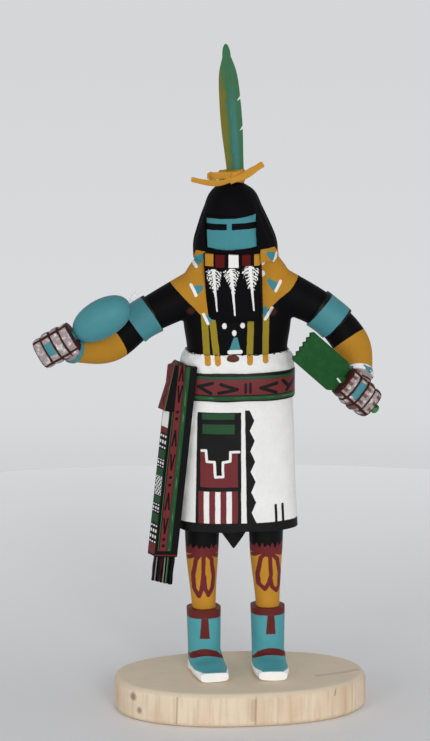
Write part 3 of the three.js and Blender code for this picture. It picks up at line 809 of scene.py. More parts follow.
RIGHT_ARM = arm_path(
    -1, 1.5, RIGHT_REACH, (-0.385, -0.03, -0.19), (-0.615, -0.077, -0.346), (-0.838, -0.246, -0.343),
    (-1, -0.354, -0.292),
)
LEFT_ARM = arm_path(
    1, 1, LEFT_REACH, (0.618, -0.084, -0.335), (0.944, -0.169, -0.716), (1, -0.421, -0.978),
    (0.944, -0.674, -1.23),
)
RIGHT_FIST = Hand(RIGHT_ARM.at(1), (0.84, -0.17, 0.53), (-0.2, -1, 0.15))
LEFT_FIST = Hand(LEFT_ARM.at(1), (-0.73, -0.14, 0.68), (0.25, -1, 0.2))
RIGHT_RING, LEFT_RING = ((-3.9, -3), (-0.6, 3)), ((0.4, -4), (3.9, 4))
RIGHT_BANDS, LEFT_BANDS = (0.263, 0.82), (0.275, 0.8)
RIGHT_ELBOW, LEFT_ELBOW = 0.455, 0.46
ARM_WIDTH = sizes(UPPER_ARM * 1.2, UPPER_ARM, ELBOW, WRIST, WRIST * 0.9)


def arm_band(path, middle, length, proud, finish):
    """A flat band round an arm, with its two rims eased."""
    half = length / path.length() / 2
    rim = min(0.35, proud)

    def swell(t):
        near = min(t, 1 - t) * length
        return proud - rim * (1 - smooth(near / 0.8)) if 0 < near else -1.5

    shares = 20
    return limb(path, middle - half, middle + half, ARM_WIDTH, 72, shares, finish, swell)


def finger_ring(hand, index, finish):
    """One finger closed round what the hand holds."""
    thick = FIST_LENGTH / FINGERS
    taper = (0.93, 1.0, 0.985, 0.9)[index]
    at = FIST_LENGTH * ((index + 0.5) / FINGERS - 0.5)

    def place(t, c, s):
        bulge = math.sqrt(max(0.0, 1 - (2 * t - 1) ** 2)) ** 0.75
        out = (FIST_DEPTH / 2 * taper) * (0.72 + 0.28 * bulge)
        over = (FIST_HEIGHT / 2 * taper) * (0.72 + 0.28 * bulge)
        return hand.put(squared(c, 2.9) * out, squared(s, 2.9) * over, at + thick * 0.56 * (2 * t - 1))

    shares = (1 - np.cos(np.linspace(0, math.pi, 15))) / 2
    return form(56, 14, place, finish, shares)


def fist(hand, finish):
    """A closed fist: four fingers round one core, and a thumb across them."""

    def palm(t, c, s):
        across, over = squared(c, 2.8) * FIST_DEPTH * 0.44, squared(s, 2.8) * FIST_HEIGHT * 0.44
        return hand.put(across, over, FIST_LENGTH * (t - 0.5) * 0.96)

    core = form(40, 8, palm, finish)
    root = hand.put(-FIST_DEPTH * 0.35, FIST_HEIGHT * 0.3, FIST_LENGTH * 0.3)
    end = hand.put(FIST_DEPTH * 0.3, FIST_HEIGHT * 0.42, FIST_LENGTH * 0.36)
    across = end - root
    over = vec(*hand.axis)
    up = np.cross(across / np.linalg.norm(across), over)

    def place(t, c, s):
        radius = THUMB_WIDTH / 2 * (0.55 + 0.45 * math.sqrt(max(0.0, 1 - (2 * t - 1) ** 2)))
        section = np.outer(c * radius, over) * 1.15 + np.outer(s * radius, up)
        return root + across * (1.1 * t - 0.05) + section

    thumb = form(32, 16, place, finish)
    return [core, *[finger_ring(hand, i, finish) for i in range(FINGERS)], thumb]


def head(grow=0):
    """The head with its carved locks, smooth over the mask."""
    neck = NECK + NECK_OVERLAP / 2
    wide = sizes(*[HEAD_WIDTH * k for k in (1.09, 1.066, 0.912, 0.735, 0.54, 0.08)])
    deep = sizes(*[HEAD_DEPTH * k for k in (1, 1, 0.985, 0.91, 0.7, 0.12)])

    def place(t, c, s):
        z = neck + (CROWN - neck) * (1 - (1 - t) ** 1.12)
        front = np.maximum(0, -s)
        angle = np.arctan2(s, c)
        lock = (0.5 + 0.5 * np.cos(HAIR_LOCKS * angle)) ** 1.4
        groove = 1 - 0.035 * lock * (1 - front) * math.sin(math.pi * min(1, 1.2 * t))
        x = squared(c, 2.2) * (wide(t) / 2 + grow) * groove
        y = squared(s, 2.2) * (deep(t) / 2 + grow) * groove
        return faceward(x, y, z)

    return form(256, 80, place, "hair")


def mask_field(finishes):
    """The shallow field of the mask: a block less the head, shrunk by the depth of the mask."""
    half = MASK_WIDTH / 2
    low, high = MASK_BOTTOM, MASK_BOTTOM + MASK_HEIGHT
    corners = [(-half, low), (half, low), (half, high), (-half, high)]

    def place(x, z, t):
        return faceward(x, -HEAD_DEPTH * (0.3 + 0.4 * t), z)

    block = plate(rounded(corners, 0.5), place, "hair")
    return carved("mask field", [block], finishes, [head(-MASK_SINK)])


def beard():
    """The beard panel: a block proud of the chest with round lower corners and eased rims."""
    top, half = MASK_BOTTOM - 2, BEARD_WIDTH / 2
    bottom = top - BEARD_LENGTH
    front = -HEAD_DEPTH / 2 - BEARD_THICKNESS * 0.4
    back = front + HEAD_DEPTH * 0.45
    rings = []
    levels = [bottom + BEARD_CORNER * (1 - math.cos(a)) for a in np.linspace(0.12, math.pi / 2, 9)]
    levels += list(np.linspace(bottom + BEARD_CORNER, top - 0.5, 40)[1:]) + [top - 0.2, top]
    for z in levels:
        rise = max(0.0, 1 - (z - bottom) / BEARD_CORNER)
        wide = half - BEARD_CORNER * (1 - math.sqrt(max(0.0, 1 - rise * rise)))
        ease = 0.35 if z == top else 0.12 if z == top - 0.2 else 0.5 * rise ** 3
        section = rounded(
            [(-wide, front + ease), (wide, front + ease), (wide, back), (-wide, back)], 0.8, 0.4
        )
        far = np.linspace(0, len(section), 180, endpoint=False)
        index = np.arange(len(section) + 1)
        closed = np.vstack([section, section[:1]])
        ring = np.stack([np.interp(far, index, closed[:, k]) for k in range(2)], axis=-1)
        rings.append(faceward(ring[:, 0], ring[:, 1] + 0.012 * ring[:, 0] ** 2, z))
    return loft(rings, "beard")


def back_hair():
    """The hair down the back, with the same locks as the head."""
    top = NECK + BACK_HAIR_RISE
    locks = HAIR_LOCKS / 2

    def place(t, c, s):
        angle = np.arctan2(s, c)
        lock = (0.5 + 0.5 * np.cos(2 * locks * angle)) ** 1.4
        groove = 1 - 0.07 * lock
        wide = HEAD_WIDTH * (0.82 + 0.2 * t) / 2
        deep = BACK_HAIR_THICKNESS + t * 3
        end = 1 - 0.3 * max(0.0, 1 - t * 12) ** 2
        y = BACK + BODY_DEPTH / 2 - 1 + squared(s, 2.4) * deep * groove * end
        return stacked(SIDE + squared(c, 2.4) * wide * groove * end, y, top - BACK_HAIR_LENGTH * (1 - t))

    return form(192, 60, place, "hair")


def back_tail():
    """The dark strip that hangs behind the kilt and ends in a point."""
    half, top = TAIL_WIDTH / 2, BELT_BOTTOM + (BELT_TOP - BELT_BOTTOM) / 2
    bend, tip = HEM - TAIL_DROP * 0.45, HEM - TAIL_DROP
    corners = [(-half, top), (-half, bend), (0, tip), (half, bend), (half, top)]
    back = BACK + KILT_DEPTH / 2

    def place(x, z, t):
        return stacked(SIDE + x, back - TAIL_THICKNESS + 2 * TAIL_THICKNESS * (1 - t), z)

    return plate(rounded(corners, 0.8), place, "tail", edge=0.5, depth=2 * TAIL_THICKNESS)


FEATHER_AXIS = vec(math.sin(FEATHER_LEAN), 0, math.cos(FEATHER_LEAN))
CROWN_POINT = faceward(0, 0, CROWN)
FEATHER = Hand(CROWN_POINT + vec(FEATHER_SIDE, 0, -FEATHER_SOCKET), FEATHER_AXIS, (1, 0, 0))
TIE_MIDDLE = CROWN_POINT + vec(0, 0, TIE_HEIGHT * 0.3)
GOURD_START = FIST_LENGTH / 2 + 2 * SEAT_GAP
GOURD_MIDDLE = GOURD_START + GOURD_LENGTH / 2

# Share of the feather's length where its tip starts to round, and its width along the length.
FEATHER_TIP = 0.91
FEATHER_WIDE = sizes(
    FEATHER_FOOT, FEATHER_FOOT * 1.15, FEATHER_WIDTH, FEATHER_WIDTH, FEATHER_WIDTH * 0.82, 0.8
)
# Turn from one barb of the down tuft to the next, in radians.
BARB_TURN = 2.39996


def feather(grow=0, carve=False):
    """The feather's blade; when carved, with its rib and the lie of its barbs."""
    whole = FEATHER_LENGTH + FEATHER_SOCKET

    def place(t, c, s):
        tip = max(0.0, (t - FEATHER_TIP) / (1 - FEATHER_TIP))
        wide = FEATHER_WIDE(min(t, FEATHER_TIP)) / 2 * math.sqrt(max(0.004, 1 - tip * tip)) + grow
        thick = (FEATHER_THICKNESS / 2) * (1 - 0.6 * t) + grow
        x, y = c * wide, s * thick
        if carve:
            rib = np.exp(-((x / (0.75 - 0.35 * t)) ** 2))
            slope = np.abs(x) * 0.9 + whole * t
            barb = 0.5 + 0.5 * np.sin(slope * TAU / 1.15)
            y = y * (0.74 + 0.26 * rib) - np.sign(s) * 0.08 * barb * (1 - rib) * (np.abs(s) > 0.05)
        return FEATHER.put(x, y, whole * t + (2 * t - 1) * grow)

    return form(72 if carve else 40, 320 if carve else 20, place)


def feather_split(share):
    """A split in the feather's edge at a share of its length."""
    start = FEATHER.put(FEATHER_WIDTH * 0.18, 0, FEATHER_LENGTH * share - 3)
    mouth = FEATHER.put(FEATHER_WIDTH * 0.7, 0, FEATHER_LENGTH * share + 1.5)
    return limb(Path(start, mouth), 0, 1, lambda t: 0.3 + 1.2 * t, 20, 6)


def tie_strip(points, wide, flat, turn):
    """A flat strip along points, given the twist from its first end to its last."""
    path = Path(*points)
    share = 1 / 60

    def place(t, c, s):
        along = path.at(min(1, t + share)) - path.at(max(0, t - share))
        along /= np.linalg.norm(along)
        side = np.cross(along, (0, -1, 0))
        side /= np.linalg.norm(side)
        out = np.cross(side, along)
        angle = turn[0] + (turn[1] - turn[0]) * t
        taper = 1 - 0.3 * max(0.0, (t - 0.92) / 0.08) ** 2
        half = wide / 2 * (1 - 0.12 * math.sin(3 * math.pi * t)) * taper
        x, y = squared(c, 4) * half, squared(s, 4) * flat / 2
        over = side * math.cos(angle) + out * math.sin(angle)
        thick = out * math.cos(angle) - side * math.sin(angle)
        return path.at(t) + np.outer(x, over) + np.outer(y, thick)

    return form(36, 44, place)


def crown_tie():
    """The tied strip: wraps round the feather's foot, a loop and two loose ends."""
    middle = TIE_MIDDLE
    wide = TIE_WIDTH * 0.5

    def wrap(low, high, tilt, proud):
        def place(t, c, s):
            ease = math.sqrt(max(0.0, 1 - (2 * t - 1) ** 4))
            reach = wide - TIE_STRIP * 0.45 * (1 - ease) + proud
            crease = 0.12 * np.sin(9 * np.arctan2(s, c) + 3 * t)
            return stacked(
                middle[0] + c * (reach + crease), middle[1] + s * (reach * 0.84 + crease),
                middle[2] + low + (high - low) * t + tilt * c,
            )

        return form(72, 14, place)

    def spot(x, y, z):
        return middle + vec(x, y, z)

    front = -wide * 0.84
    half = TIE_HEIGHT / 2
    loop = [
        spot(-1.2, front - 0.2, 0.6), spot(-4.6, front - 0.8, 0.8), spot(-8.2, front - 0.5, 0.5),
        spot(-9.6, front * 0.6, 0.2), spot(-8.0, front * 0.3, -0.1), spot(-3.2, front * 0.6, -0.3),
    ]
    left = [
        spot(-0.6, front - 0.3, -1.2), spot(-5.5, front, -2.7), spot(-12, front * 0.8, -2.5),
        spot(-1.4 * TIE_LENGTH, front * 0.5, -1.3),
    ]
    right = [
        spot(-1.4, front - 0.4, -1.9), spot(wide * 0.7, front * 0.9, -0.3), spot(9.5, front * 0.4, 2.3),
        spot(1.07 * TIE_LENGTH, front * 0.1, 4.7),
    ]
    return [
        wrap(-half, half * 0.35, -1.4, 0.1),
        wrap(-half * 0.2, half, 0.6, 0),
        tie_strip(loop, TIE_STRIP * 1.25, 0.9, (0.2, 0.5)),
        tie_strip(left, TIE_STRIP * 0.92, 0.9, (0.1, 0.3)),
        tie_strip(right, TIE_STRIP * 1.1, 1.0, (0.1, 0.35)),
    ]


def tie_seat():
    middle = TIE_MIDDLE
    return form(64, 2, lambda t, c, s: stacked(
        middle[0] + c * (TIE_WIDTH * 0.625 + SEAT_GAP), middle[1] + s * (TIE_WIDTH * 0.5 + SEAT_GAP),
        middle[2] - TIE_HEIGHT / 2 - SEAT_GAP + TIE_HEIGHT * 3 * t,
    ), "hair")


def rattle(grow=0, finish=""):
    """The rattle's egg and handle about the axis of the fist that holds it."""
    handle = HANDLE_WIDTH / 2 + grow
    start = -FIST_LENGTH / 2 - grow
    lowest = math.asin(min(0.9, 2 * handle / GOURD_WIDTH))
    marks = [(handle, start), (handle, start + 2), (handle, start + 8)]
    for angle in np.linspace(lowest, math.pi * 0.995, 60):
        radius = (GOURD_WIDTH / 2 + grow) * math.sin(angle) ** 0.86
        marks.append((radius, GOURD_MIDDLE - (GOURD_LENGTH / 2 + grow) * math.cos(angle)))
    angle = np.arange(88) * TAU / 88
    rings = [RIGHT_FIST.put(np.cos(angle) * r, np.sin(angle) * r, h) for r, h in marks]
    return loft(rings, finish)


def bough_stem(grow=0, finish=""):
    start = -FIST_LENGTH / 2 - STEM_STUB
    end = FIST_LENGTH / 2 + SEAT_GAP + BOUGH_THICKNESS

    def place(t, c, s):
        ease = 0 if grow else 0.5 * max(0.0, 1 - t * 30) ** 2
        radius = STEM_WIDTH / 2 + grow - ease
        return LEFT_FIST.put(c * radius, s * radius, start + (end - start) * t)

    return form(40, 40, place, finish)


def bough_leaves():
    """The bough's flat leaf mass with its toothed end and cut needles."""
    start, half = FIST_LENGTH / 2 + 2 * SEAT_GAP, BOUGH_WIDTH / 2
    columns, rows = 120, 100

    def surface(front):
        across = np.linspace(-1, 1, columns)
        rings = []
        for share in np.linspace(0, 1, rows):
            wide = half * (0.78 + 0.22 * smooth(share * 8))
            x = across * wide
            tooth = BOUGH_TOOTH * np.abs(((across + 1) * BOUGH_TEETH) % 2 - 1)
            along = share * (BOUGH_LENGTH - tooth * smooth(share * 3 - 2))
            needle = 0.5 + 0.5 * np.sin((along * 0.8 + np.abs(x) * 1.5) * TAU / 2.1)
            edge = np.minimum(1, (1 - np.abs(across)) * 9) * min(1, share * 20, (1 - share) * 20)
            thick = BOUGH_THICKNESS / 2 * (0.55 + 0.45 * np.sqrt(np.clip(edge, 0, 1))) - 0.16 * needle * edge
            rings.append(LEFT_FIST.put(front * thick, x, start + along))
        return np.array(rings)

    front, back = surface(1), surface(-1)
    points = np.concatenate([front.reshape(-1, 3), back.reshape(-1, 3)])
    shift = columns * rows
    cell = (np.arange(rows - 1)[:, None] * columns + np.arange(columns - 1)).ravel()
    face = np.stack([cell, cell + 1, cell + columns + 1, cell + columns], axis=-1)
    right = np.arange(1, rows) * columns + columns - 1
    top = (rows - 1) * columns + np.arange(columns - 2, -1, -1)
    rim = np.concatenate([np.arange(columns), right, top, np.arange(rows - 2, 0, -1) * columns])
    after = np.roll(rim, -1)
    wall = np.stack([after, rim, rim + shift, after + shift], axis=-1)
    return Solid(points, np.concatenate([face, (face + shift)[:, ::-1], wall]), [])


def sash_outline(proud=0.0):
    """The sash's section in plan, from its front right corner round the outside and back."""
    sideways = SASH_SIDE * 0.42 + proud
    backward = SASH_SIDE * 0.9
    corners = [
        (SASH_FRONT, -1.4 + SASH_THICKNESS), (0.6, SASH_THICKNESS + backward), (-sideways, backward),
        (-0.6 - proud, 0.2), (0.4, -0.3 - proud * 0.3), (SASH_FRONT, -1.4),
    ]
    return rounded(corners, 0.6, 0.35)


def sash_point(x, y, z):
    """Where the sash hangs: it drifts outward from the hip to its foot."""
    down = (SASH_TOP - z) / SASH_LENGTH
    return stacked(SASH_RIDGE[0] + x - SASH_DRIFT * down, SASH_RIDGE[1] + y + 2 * down, z)


def sash_solids(gap):
    bottom = SASH_TOP - SASH_LENGTH + SASH_FRINGE
    tail = plate(
        sash_outline(), lambda x, y, t: sash_point(x, y, bottom + (SASH_TOP - bottom) * t),
        steps=90, edge=0.4, depth=SASH_TOP - bottom,
    )

    def fold_place(x, y, t):
        close = 1 - 0.75 * t
        near = np.where(x > 0.5, x * 0.4, x * close)
        return sash_point(near, y, SASH_TOP + 1 - FLAP_LENGTH * (1 - t))

    fold = plate(sash_outline(FLAP_PROUD), fold_place, steps=30, edge=0.4, depth=FLAP_LENGTH)
    strand = SASH_FRONT / FRINGE_STRANDS
    strands = []
    for i in range(FRINGE_STRANDS):
        middle = strand * (i + 0.5) - 0.8
        ends = SASH_FRINGE * (0.86 + 0.14 * (i / (FRINGE_STRANDS - 1)))
        half = strand * (0.62 - gap * 0.3)

        def place(t, c, s, middle=middle, ends=ends, half=half):
            wave = 0.1 * math.sin(9 * t + middle)
            return sash_point(
                middle + wave + squared(c, 3) * half, SASH_THICKNESS * (0.5 + squared(s, 3) * 0.42),
                bottom + 1 - ends * (1 - t),
            )

        strands.append(form(32, 26, place))
    return [tail, fold, *strands]


def down_tuft(barbs):
    """A white down tuft: a soft core with fine barbs that curl off it."""
    start = RIGHT_FIST.put(0, 0, GOURD_MIDDLE + GOURD_LENGTH / 2 + SEAT_GAP)
    hand = Hand(start, (0.55, -0.05, 0.83), (0, -1, 0))

    def core(t, c, s):
        swell = TUFT_WIDTH * 0.27 * (0.3 + 0.7 * math.sin(math.pi * min(0.96, t * 0.8 + 0.1)))
        return hand.put(c * swell, s * swell, TUFT_LENGTH * 0.92 * t)

    solids = [form(24, 20, core)]
    for i in range(barbs):
        turn = i * BARB_TURN
        low = 0.2 + TUFT_LENGTH * 0.72 * i / barbs
        reach = TUFT_WIDTH * (0.42 + 0.12 * math.sin(i * 1.7))
        rise = 1.3 + 0.9 * (1 - i / barbs)
        side = vec(math.cos(turn), math.sin(turn))

        def barb(t, c, s, low=low, reach=reach, rise=rise, side=side):
            out = reach * math.sin(t * math.pi * 0.5)
            radius = 0.17 * (1 - t) ** 0.7 + 0.02
            return hand.put(
                side[0] * out - side[1] * c * radius, side[1] * out + side[0] * c * radius,
                low + rise * t ** 1.6 + s * radius,
            )

        solids.append(form(7, 6, barb))
    return solids


def slab(edge):
    """The oval slab with its edges rounded."""
    bends = np.linspace(math.pi / 2, 0, 9)
    low = [(edge * (1 - math.sin(a)), edge * (1 - math.cos(a))) for a in bends]
    high = [(SLAB_THICKNESS - z, drawn) for z, drawn in reversed(low)]
    angle = np.arange(240) * TAU / 240
    rings = []
    for z, drawn in low + high:
        wave = 0.14 * np.sin(3 * angle + 0.6) + 0.1 * np.sin(7 * angle + 2)
        x = squared(np.cos(angle), SLAB_SQUARENESS) * (SLAB_LENGTH / 2 - 0.25 + wave - drawn)
        y = squared(np.sin(angle), SLAB_SQUARENESS) * (SLAB_DEPTH / 2 - 0.25 + wave - drawn)
        rings.append(stacked(x, y, z))
    return loft(rings)


def start_paint(name, colour, roughness=0.5, wobble=0.22):
    paint = Paint(name, roughness, wobble)
    paint.coat(colour)
    return paint


def face_axes(paint):
    """The head's own right and forward values."""
    x, y = paint.x - SIDE, paint.y - BACK
    turn = (math.cos(HEAD_TURN), math.sin(HEAD_TURN))
    across = x * turn[0] + y * turn[1]
    along = y * turn[0] - x * turn[1]
    return across, along


UPPER_BLOSSOMS = (
    ([(-16.6, 208.6), (-20.0, 204.6)], [(-21.7, 205.6), (-19.7, 202.9)]),
    ([(10.8, 209.9), (14.7, 207.2)], [(15.8, 208.6), (14.6, 205.2)]),
)
BLOSSOMS = (
    ([(-17.2, 194.6), (-20.6, 192.6)], [(-22.3, 195.0), (-20.2, 190.6)]),
    ([(-14.0, 182.6), (-15.2, 179.4)], [(-17.0, 182.2), (-15.2, 178.2)]),
    ([(11.6, 197.2), (15.2, 193.6)], [(17.4, 195.9), (15.2, 192.0)]),
    ([(10.2, 185.6), (9.8, 181.4)], [(13.4, 184.6), (10.2, 179.8)]),
)


def blossoms(paint, p, marks, share):
    """Turquoise blossoms, each with a white outer edge."""
    for bloom, edge in marks:
        paint.mark(p.turquoise, paint.wedge(paint.x, paint.z, bloom, 1.6, 4.2), share)
        paint.mark(p.white, paint.line(paint.x, paint.z, edge, 1.35), share)


def hair_finish(p):
    """Black locks, the turquoise mask with its two slits, and the ochre neck beside the beard."""
    paint = start_paint("hair_paint", p.black, 0.68)
    u, v = face_axes(paint)
    z = paint.z
    front = paint.fill(v + 2, 0.3)
    spread = (211 - z) * 0.45
    neck = (12.3 - abs(u + 0.2)).most(abs(u - 0.4) - spread - 17.2).most(z - u * 0.05 - 210.9)
    side = paint.fill(v - 4, 0.3)
    paint.mark(p.shoulder, neck, side)
    blossoms(paint, p, UPPER_BLOSSOMS, side)
    level = z - u * 0.05
    right_rise = u.most(0)
    top = level - right_rise * right_rise * 0.012 - 225.5
    bottom = (u * u).scaled(0.008, 211.75) - level
    sides = paint.band(u + (z - 218) * 0.06, -11.8, 10.0)
    slit = paint.band(level, 220.5, 223.3).most(1.12 - abs(u + 1.5))
    shape = top.most(bottom).most(sides).most(-slit)
    paint.mark(p.turquoise, shape, front)
    return paint.done(strokes=(1.4, 1.4, 0.14), specular=0.04)


def beard_finish(p):
    """The black beard panel with its row of blocks and its three painted feathers."""
    paint = start_paint("beard_paint", p.black, 0.6, 0.16)
    u, v = face_axes(paint)
    z = paint.z
    front = paint.fill(v + 8, 0.4)
    blocks = (
        (p.shoulder, -12.2, -8.4, 204.3, 209.8), (p.brick, -7.5, -3.3, 203.9, 209.6),
        (p.white, -1.5, 2.9, 204.0, 210.6), (p.brick, 4.5, 8.2, 204.9, 210.9),
        (p.shoulder, 9.7, 13.6, 205.0, 211.5),
    )
    for colour, low, high, bottom, top in blocks:
        paint.mark(colour, paint.box(u, z, (low, bottom), (high, top)), front)
    ruffle = paint.noise(0.75, 2.0, where=paint.place) - 0.5
    for middle, top, vane, tip in (
        (-8.4, 203.0, 190.4, 183.9), (-0.5, 203.6, 192.4, 182.4), (7.9, 204.9, 192.0, 184.7),
    ):
        spine = u - middle + (z - top) * 0.085
        off = abs(spine)
        half = (z - vane).scaled(0.33, 0.2).least(z.scaled(-1.7, 1.7 * top + 1.0)).least(3.4) + ruffle * 4.2
        slope = z.scaled(1, 40) + off * 0.8 + ruffle * 3.6
        gap = slope.folded(0.8) - 0.42
        vanes = (off - half).most(gap.least(off - 0.6)).most(z.scaled(-1, vane)).most(z - top)
        shaft = (off - (z - tip).scaled(0.025, 0.3)).most(paint.band(z, tip, top - 1))
        paint.coat(p.white, share=paint.fill(vanes.least(shaft), 0.2) * front)
    return paint.done(strokes=(1.2, 1.2, 0.2), specular=0.04)


def beyond(paint, path, share):
    """How far a point lies past one place along an arm."""
    at, along = path.at(share), path.along(share)
    return paint.vector("DOT_PRODUCT", paint.place, tuple(along), out="Value") - float(np.dot(at, along))


def body_finish(p):
    """Black body, ochre shoulders and forearms, and the painted necklace."""
    paint = start_paint("body_paint", p.black, 0.58)
    x, y, z = paint.x, paint.y, paint.z
    left = x.scaled(-1.06, 162.4)
    right = x.scaled(0.79, 174.8).most(x.scaled(1.12, 167.7))
    paint.coat(p.shoulder, left.most(right).most(180.5) - z)
    front = paint.fill(y - BACK - 2, 0.5)
    for points in (
        [(-16.7, 181), (-15.4, 160)], [(-13.4, 181), (-11.0, 160)],
        [(3.8, 181), (3.2, 160)], [(10.6, 182), (10.3, 160)],
    ):
        paint.mark(p.strand, paint.line(x, z, points, 2.9), front)
    blossoms(paint, p, UPPER_BLOSSOMS + BLOSSOMS, front)
    for spot in (
        (-15.2, 203.6), (-14.9, 197.4), (9.4, 204.8), (9.5, 199.8), (-8.0, 177.2), (0.1, 177.3),
        (-3.6, 174.0),
    ):
        paint.mark(p.white, paint.disc(x, z, spot, 1.05, 1.25), front)
    pendant = paint.wedge(x, z, [(-3.0, 172.0), (-3.3, 166.2)], 1.7, 5.0)
    paint.mark(p.turquoise, pendant, front)
    paint.mark(p.white, paint.line(x, z, [(-5.7, 165.3), (-0.8, 165.4)], 1.9), front)
    for spot in ((-22.5, 183.4), (13.8, 182.9)):
        paint.coat(p.flesh, share=paint.fill(paint.disc(x, z, spot, 1.7), 1.2) * front * 0.45)
    for path, elbow in ((RIGHT_ARM, RIGHT_ELBOW), (LEFT_ARM, LEFT_ELBOW)):
        paint.coat(p.shoulder, -beyond(paint, path, elbow))
    wrists = ((RIGHT_ARM, RIGHT_BANDS[1], x + 45), (LEFT_ARM, LEFT_BANDS[1], 30 - x))
    for path, bracelet, aside in wrists:
        reach = beyond(paint, path, bracelet)
        wrist = (-reach).most(aside)
        paint.coat(p.knuckle, wrist)
        paint.coat(p.seam, wrist.most(abs(reach - 4.6) - 0.45))
    return paint.done(specular=0.05)


def highlight_dashes(paint, stretch):
    """Broken streaks of painted highlight along a green line."""
    return paint.noise(1.0, 2.0, stretch=stretch).scaled(9, -4.2, clamp=True)


def plain_finish(name, colour, roughness=0.5, **look):
    return start_paint(name, colour, roughness).done(**look)


def arm_band_finish(p):
    """Turquoise bands with a dark line along both rims."""
    paint = start_paint("armband_paint", p.turquoise, 0.5)
    for path, middle in ((RIGHT_ARM, RIGHT_BANDS[0]), (LEFT_ARM, LEFT_BANDS[0])):
        reach = beyond(paint, path, middle)
        near = paint.fill(paint.x) if path is RIGHT_ARM else paint.fill(-paint.x)
        rim = (ARMBAND_LENGTH / 2 - 0.25) - abs(reach)
        paint.mark(p.black, rim, near)
    return paint.done()


def bracelet_finish(p):
    """A turquoise bracelet on one wrist, a pale one with blue marks on the other."""
    paint = start_paint("bracelet_paint", p.turquoise, 0.5)
    pale = paint.fill(-paint.x)
    paint.coat(p.white, share=pale)
    stripe = paint.noise(0.35, 1.0) - 0.56
    paint.coat(p.turquoise, share=paint.fill(-stripe, 0.08) * pale)
    return paint.done()


def fist_finish(name, hand, ring, blocks, p):
    """Pale hands with dark lines between the fingers and a turquoise ring."""
    paint = start_paint(name, p.knuckle, 0.55, 0.35)
    off = paint.vector("SUBTRACT", paint.place, tuple(hand.centre))
    across = paint.vector("DOT_PRODUCT", off, tuple(hand.side), out="Value")
    over = paint.vector("DOT_PRODUCT", off, tuple(hand.over), out="Value")
    along = paint.vector("DOT_PRODUCT", off, tuple(hand.axis), out="Value")
    mottle = paint.noise(0.55, 3.0)
    paint.coat(p.white, share=mottle.scaled(5, -2.6, clamp=True))
    step = FIST_LENGTH / FINGERS
    fingers = along.scaled(1, step * 8)
    if blocks:
        patch = (fingers.folded(step) - step * 0.55).most(over.scaled(1, 20.4).folded(1.7) - 0.8)
        paint.coat(p.flesh, share=paint.fill(patch, 0.5) * 0.85)
    ring_box = paint.box(along, over, *ring)
    paint.coat(p.turquoise, share=paint.fill(ring_box) * paint.fill(-across))
    lines = fingers.folded(step / 2) - 0.5
    low = paint.line(across, over, [(-9, -5.6), (9, -5.6)], 1.1)
    high = paint.line(across, over, [(-9, 5.8), (9, 5.8)], 1.0)
    paint.coat(p.seam, lines.least(low).least(high))
    return paint.done(tone=0.3, specular=0.1)


def roll_finish(p):
    """The rough white roll with its ragged upper edge, strand ends and navel."""
    paint = start_paint("roll_paint", p.white, 0.75, 0.3)
    x, y, z = paint.x, paint.y, paint.z
    front = paint.fill(y - BACK, 0.5)
    for points in (
        [(-15.5, 166), (-15.4, 160.6)], [(-11.2, 166), (-11.0, 160.7)],
        [(3.3, 166), (3.2, 160.9)], [(10.3, 166), (10.3, 161.4)],
    ):
        paint.mark(p.ochre, paint.line(x, z, points, 2.7), front)
    paint.mark(p.flesh, paint.disc(x, z, (-4.3, 162.6), 2.9, 0.55), front)
    ragged = paint.noise(0.9, 3.0) * 3.4
    paint.coat(p.black, z.scaled(-1, 165.7) - ragged)
    speck = paint.noise(1.4, 2.0)
    near = z.scaled(0.5, -80.6, clamp=True)
    paint.coat(p.black, share=speck.scaled(14, -9.2, clamp=True) * near)
    return paint.done(strokes=(0.5, 0.5, 1.2), relief=0.22)


def belt_finish(p):
    """Black rims, green lines and a maroon field with black marks."""
    paint = start_paint("belt_paint", p.black, 0.48, 0.14)
    x, y, z = paint.x, paint.y, paint.z
    paint.coat(p.green, paint.band(z, 144.0, 145.9).least(paint.band(z, 153.5, 154.8)))
    # Painted highlight: broken bright streaks along the lower green line.
    paint.coat(p.bright_green_and_highlight, share=paint.fill(paint.band(z, 144.8, 145.2)) * highlight_dashes(paint, (0.12, 0.12, 1.5)))
    paint.coat(p.maroon, paint.band(z, 146.4, 153.4))
    front = paint.fill(y - BACK + 4, 0.5)
    marks = (
        [(-13.6, 151.8), (-19.6, 150.1), (-14.3, 147.3)],
        [(-9.8, 151.3), (-2.6, 149.0), (-10.7, 147.4)],
        [(15.2, 151.1), (8.0, 149.4), (14.9, 147.0)],
        [(18.3, 151.9), (20.9, 149.2)], [(23.4, 151.6), (20.0, 147.4)],
    )
    bar = paint.line(x, z, [(1.2, 151.3), (1.2, 147.6)], 1.2)
    shape = bar.least(paint.line(x, z, [(3.3, 151.4), (3.3, 147.7)], 1.2))
    for points in marks:
        shape = shape.least(paint.line(x, z, points, 1.55))
    paint.mark(p.black, shape, front)
    behind = x.scaled(1, 120).folded(4.4)
    chevron = abs(abs(z - 149.6) * 0.9 + 0.6 - behind) - 0.55
    chevron = chevron.most(abs(z - 149.6) - 2.4)
    paint.coat(p.black, share=paint.fill(chevron) * (1 - front))
    return paint.done(strokes=(0.2, 0.2, 1.4))


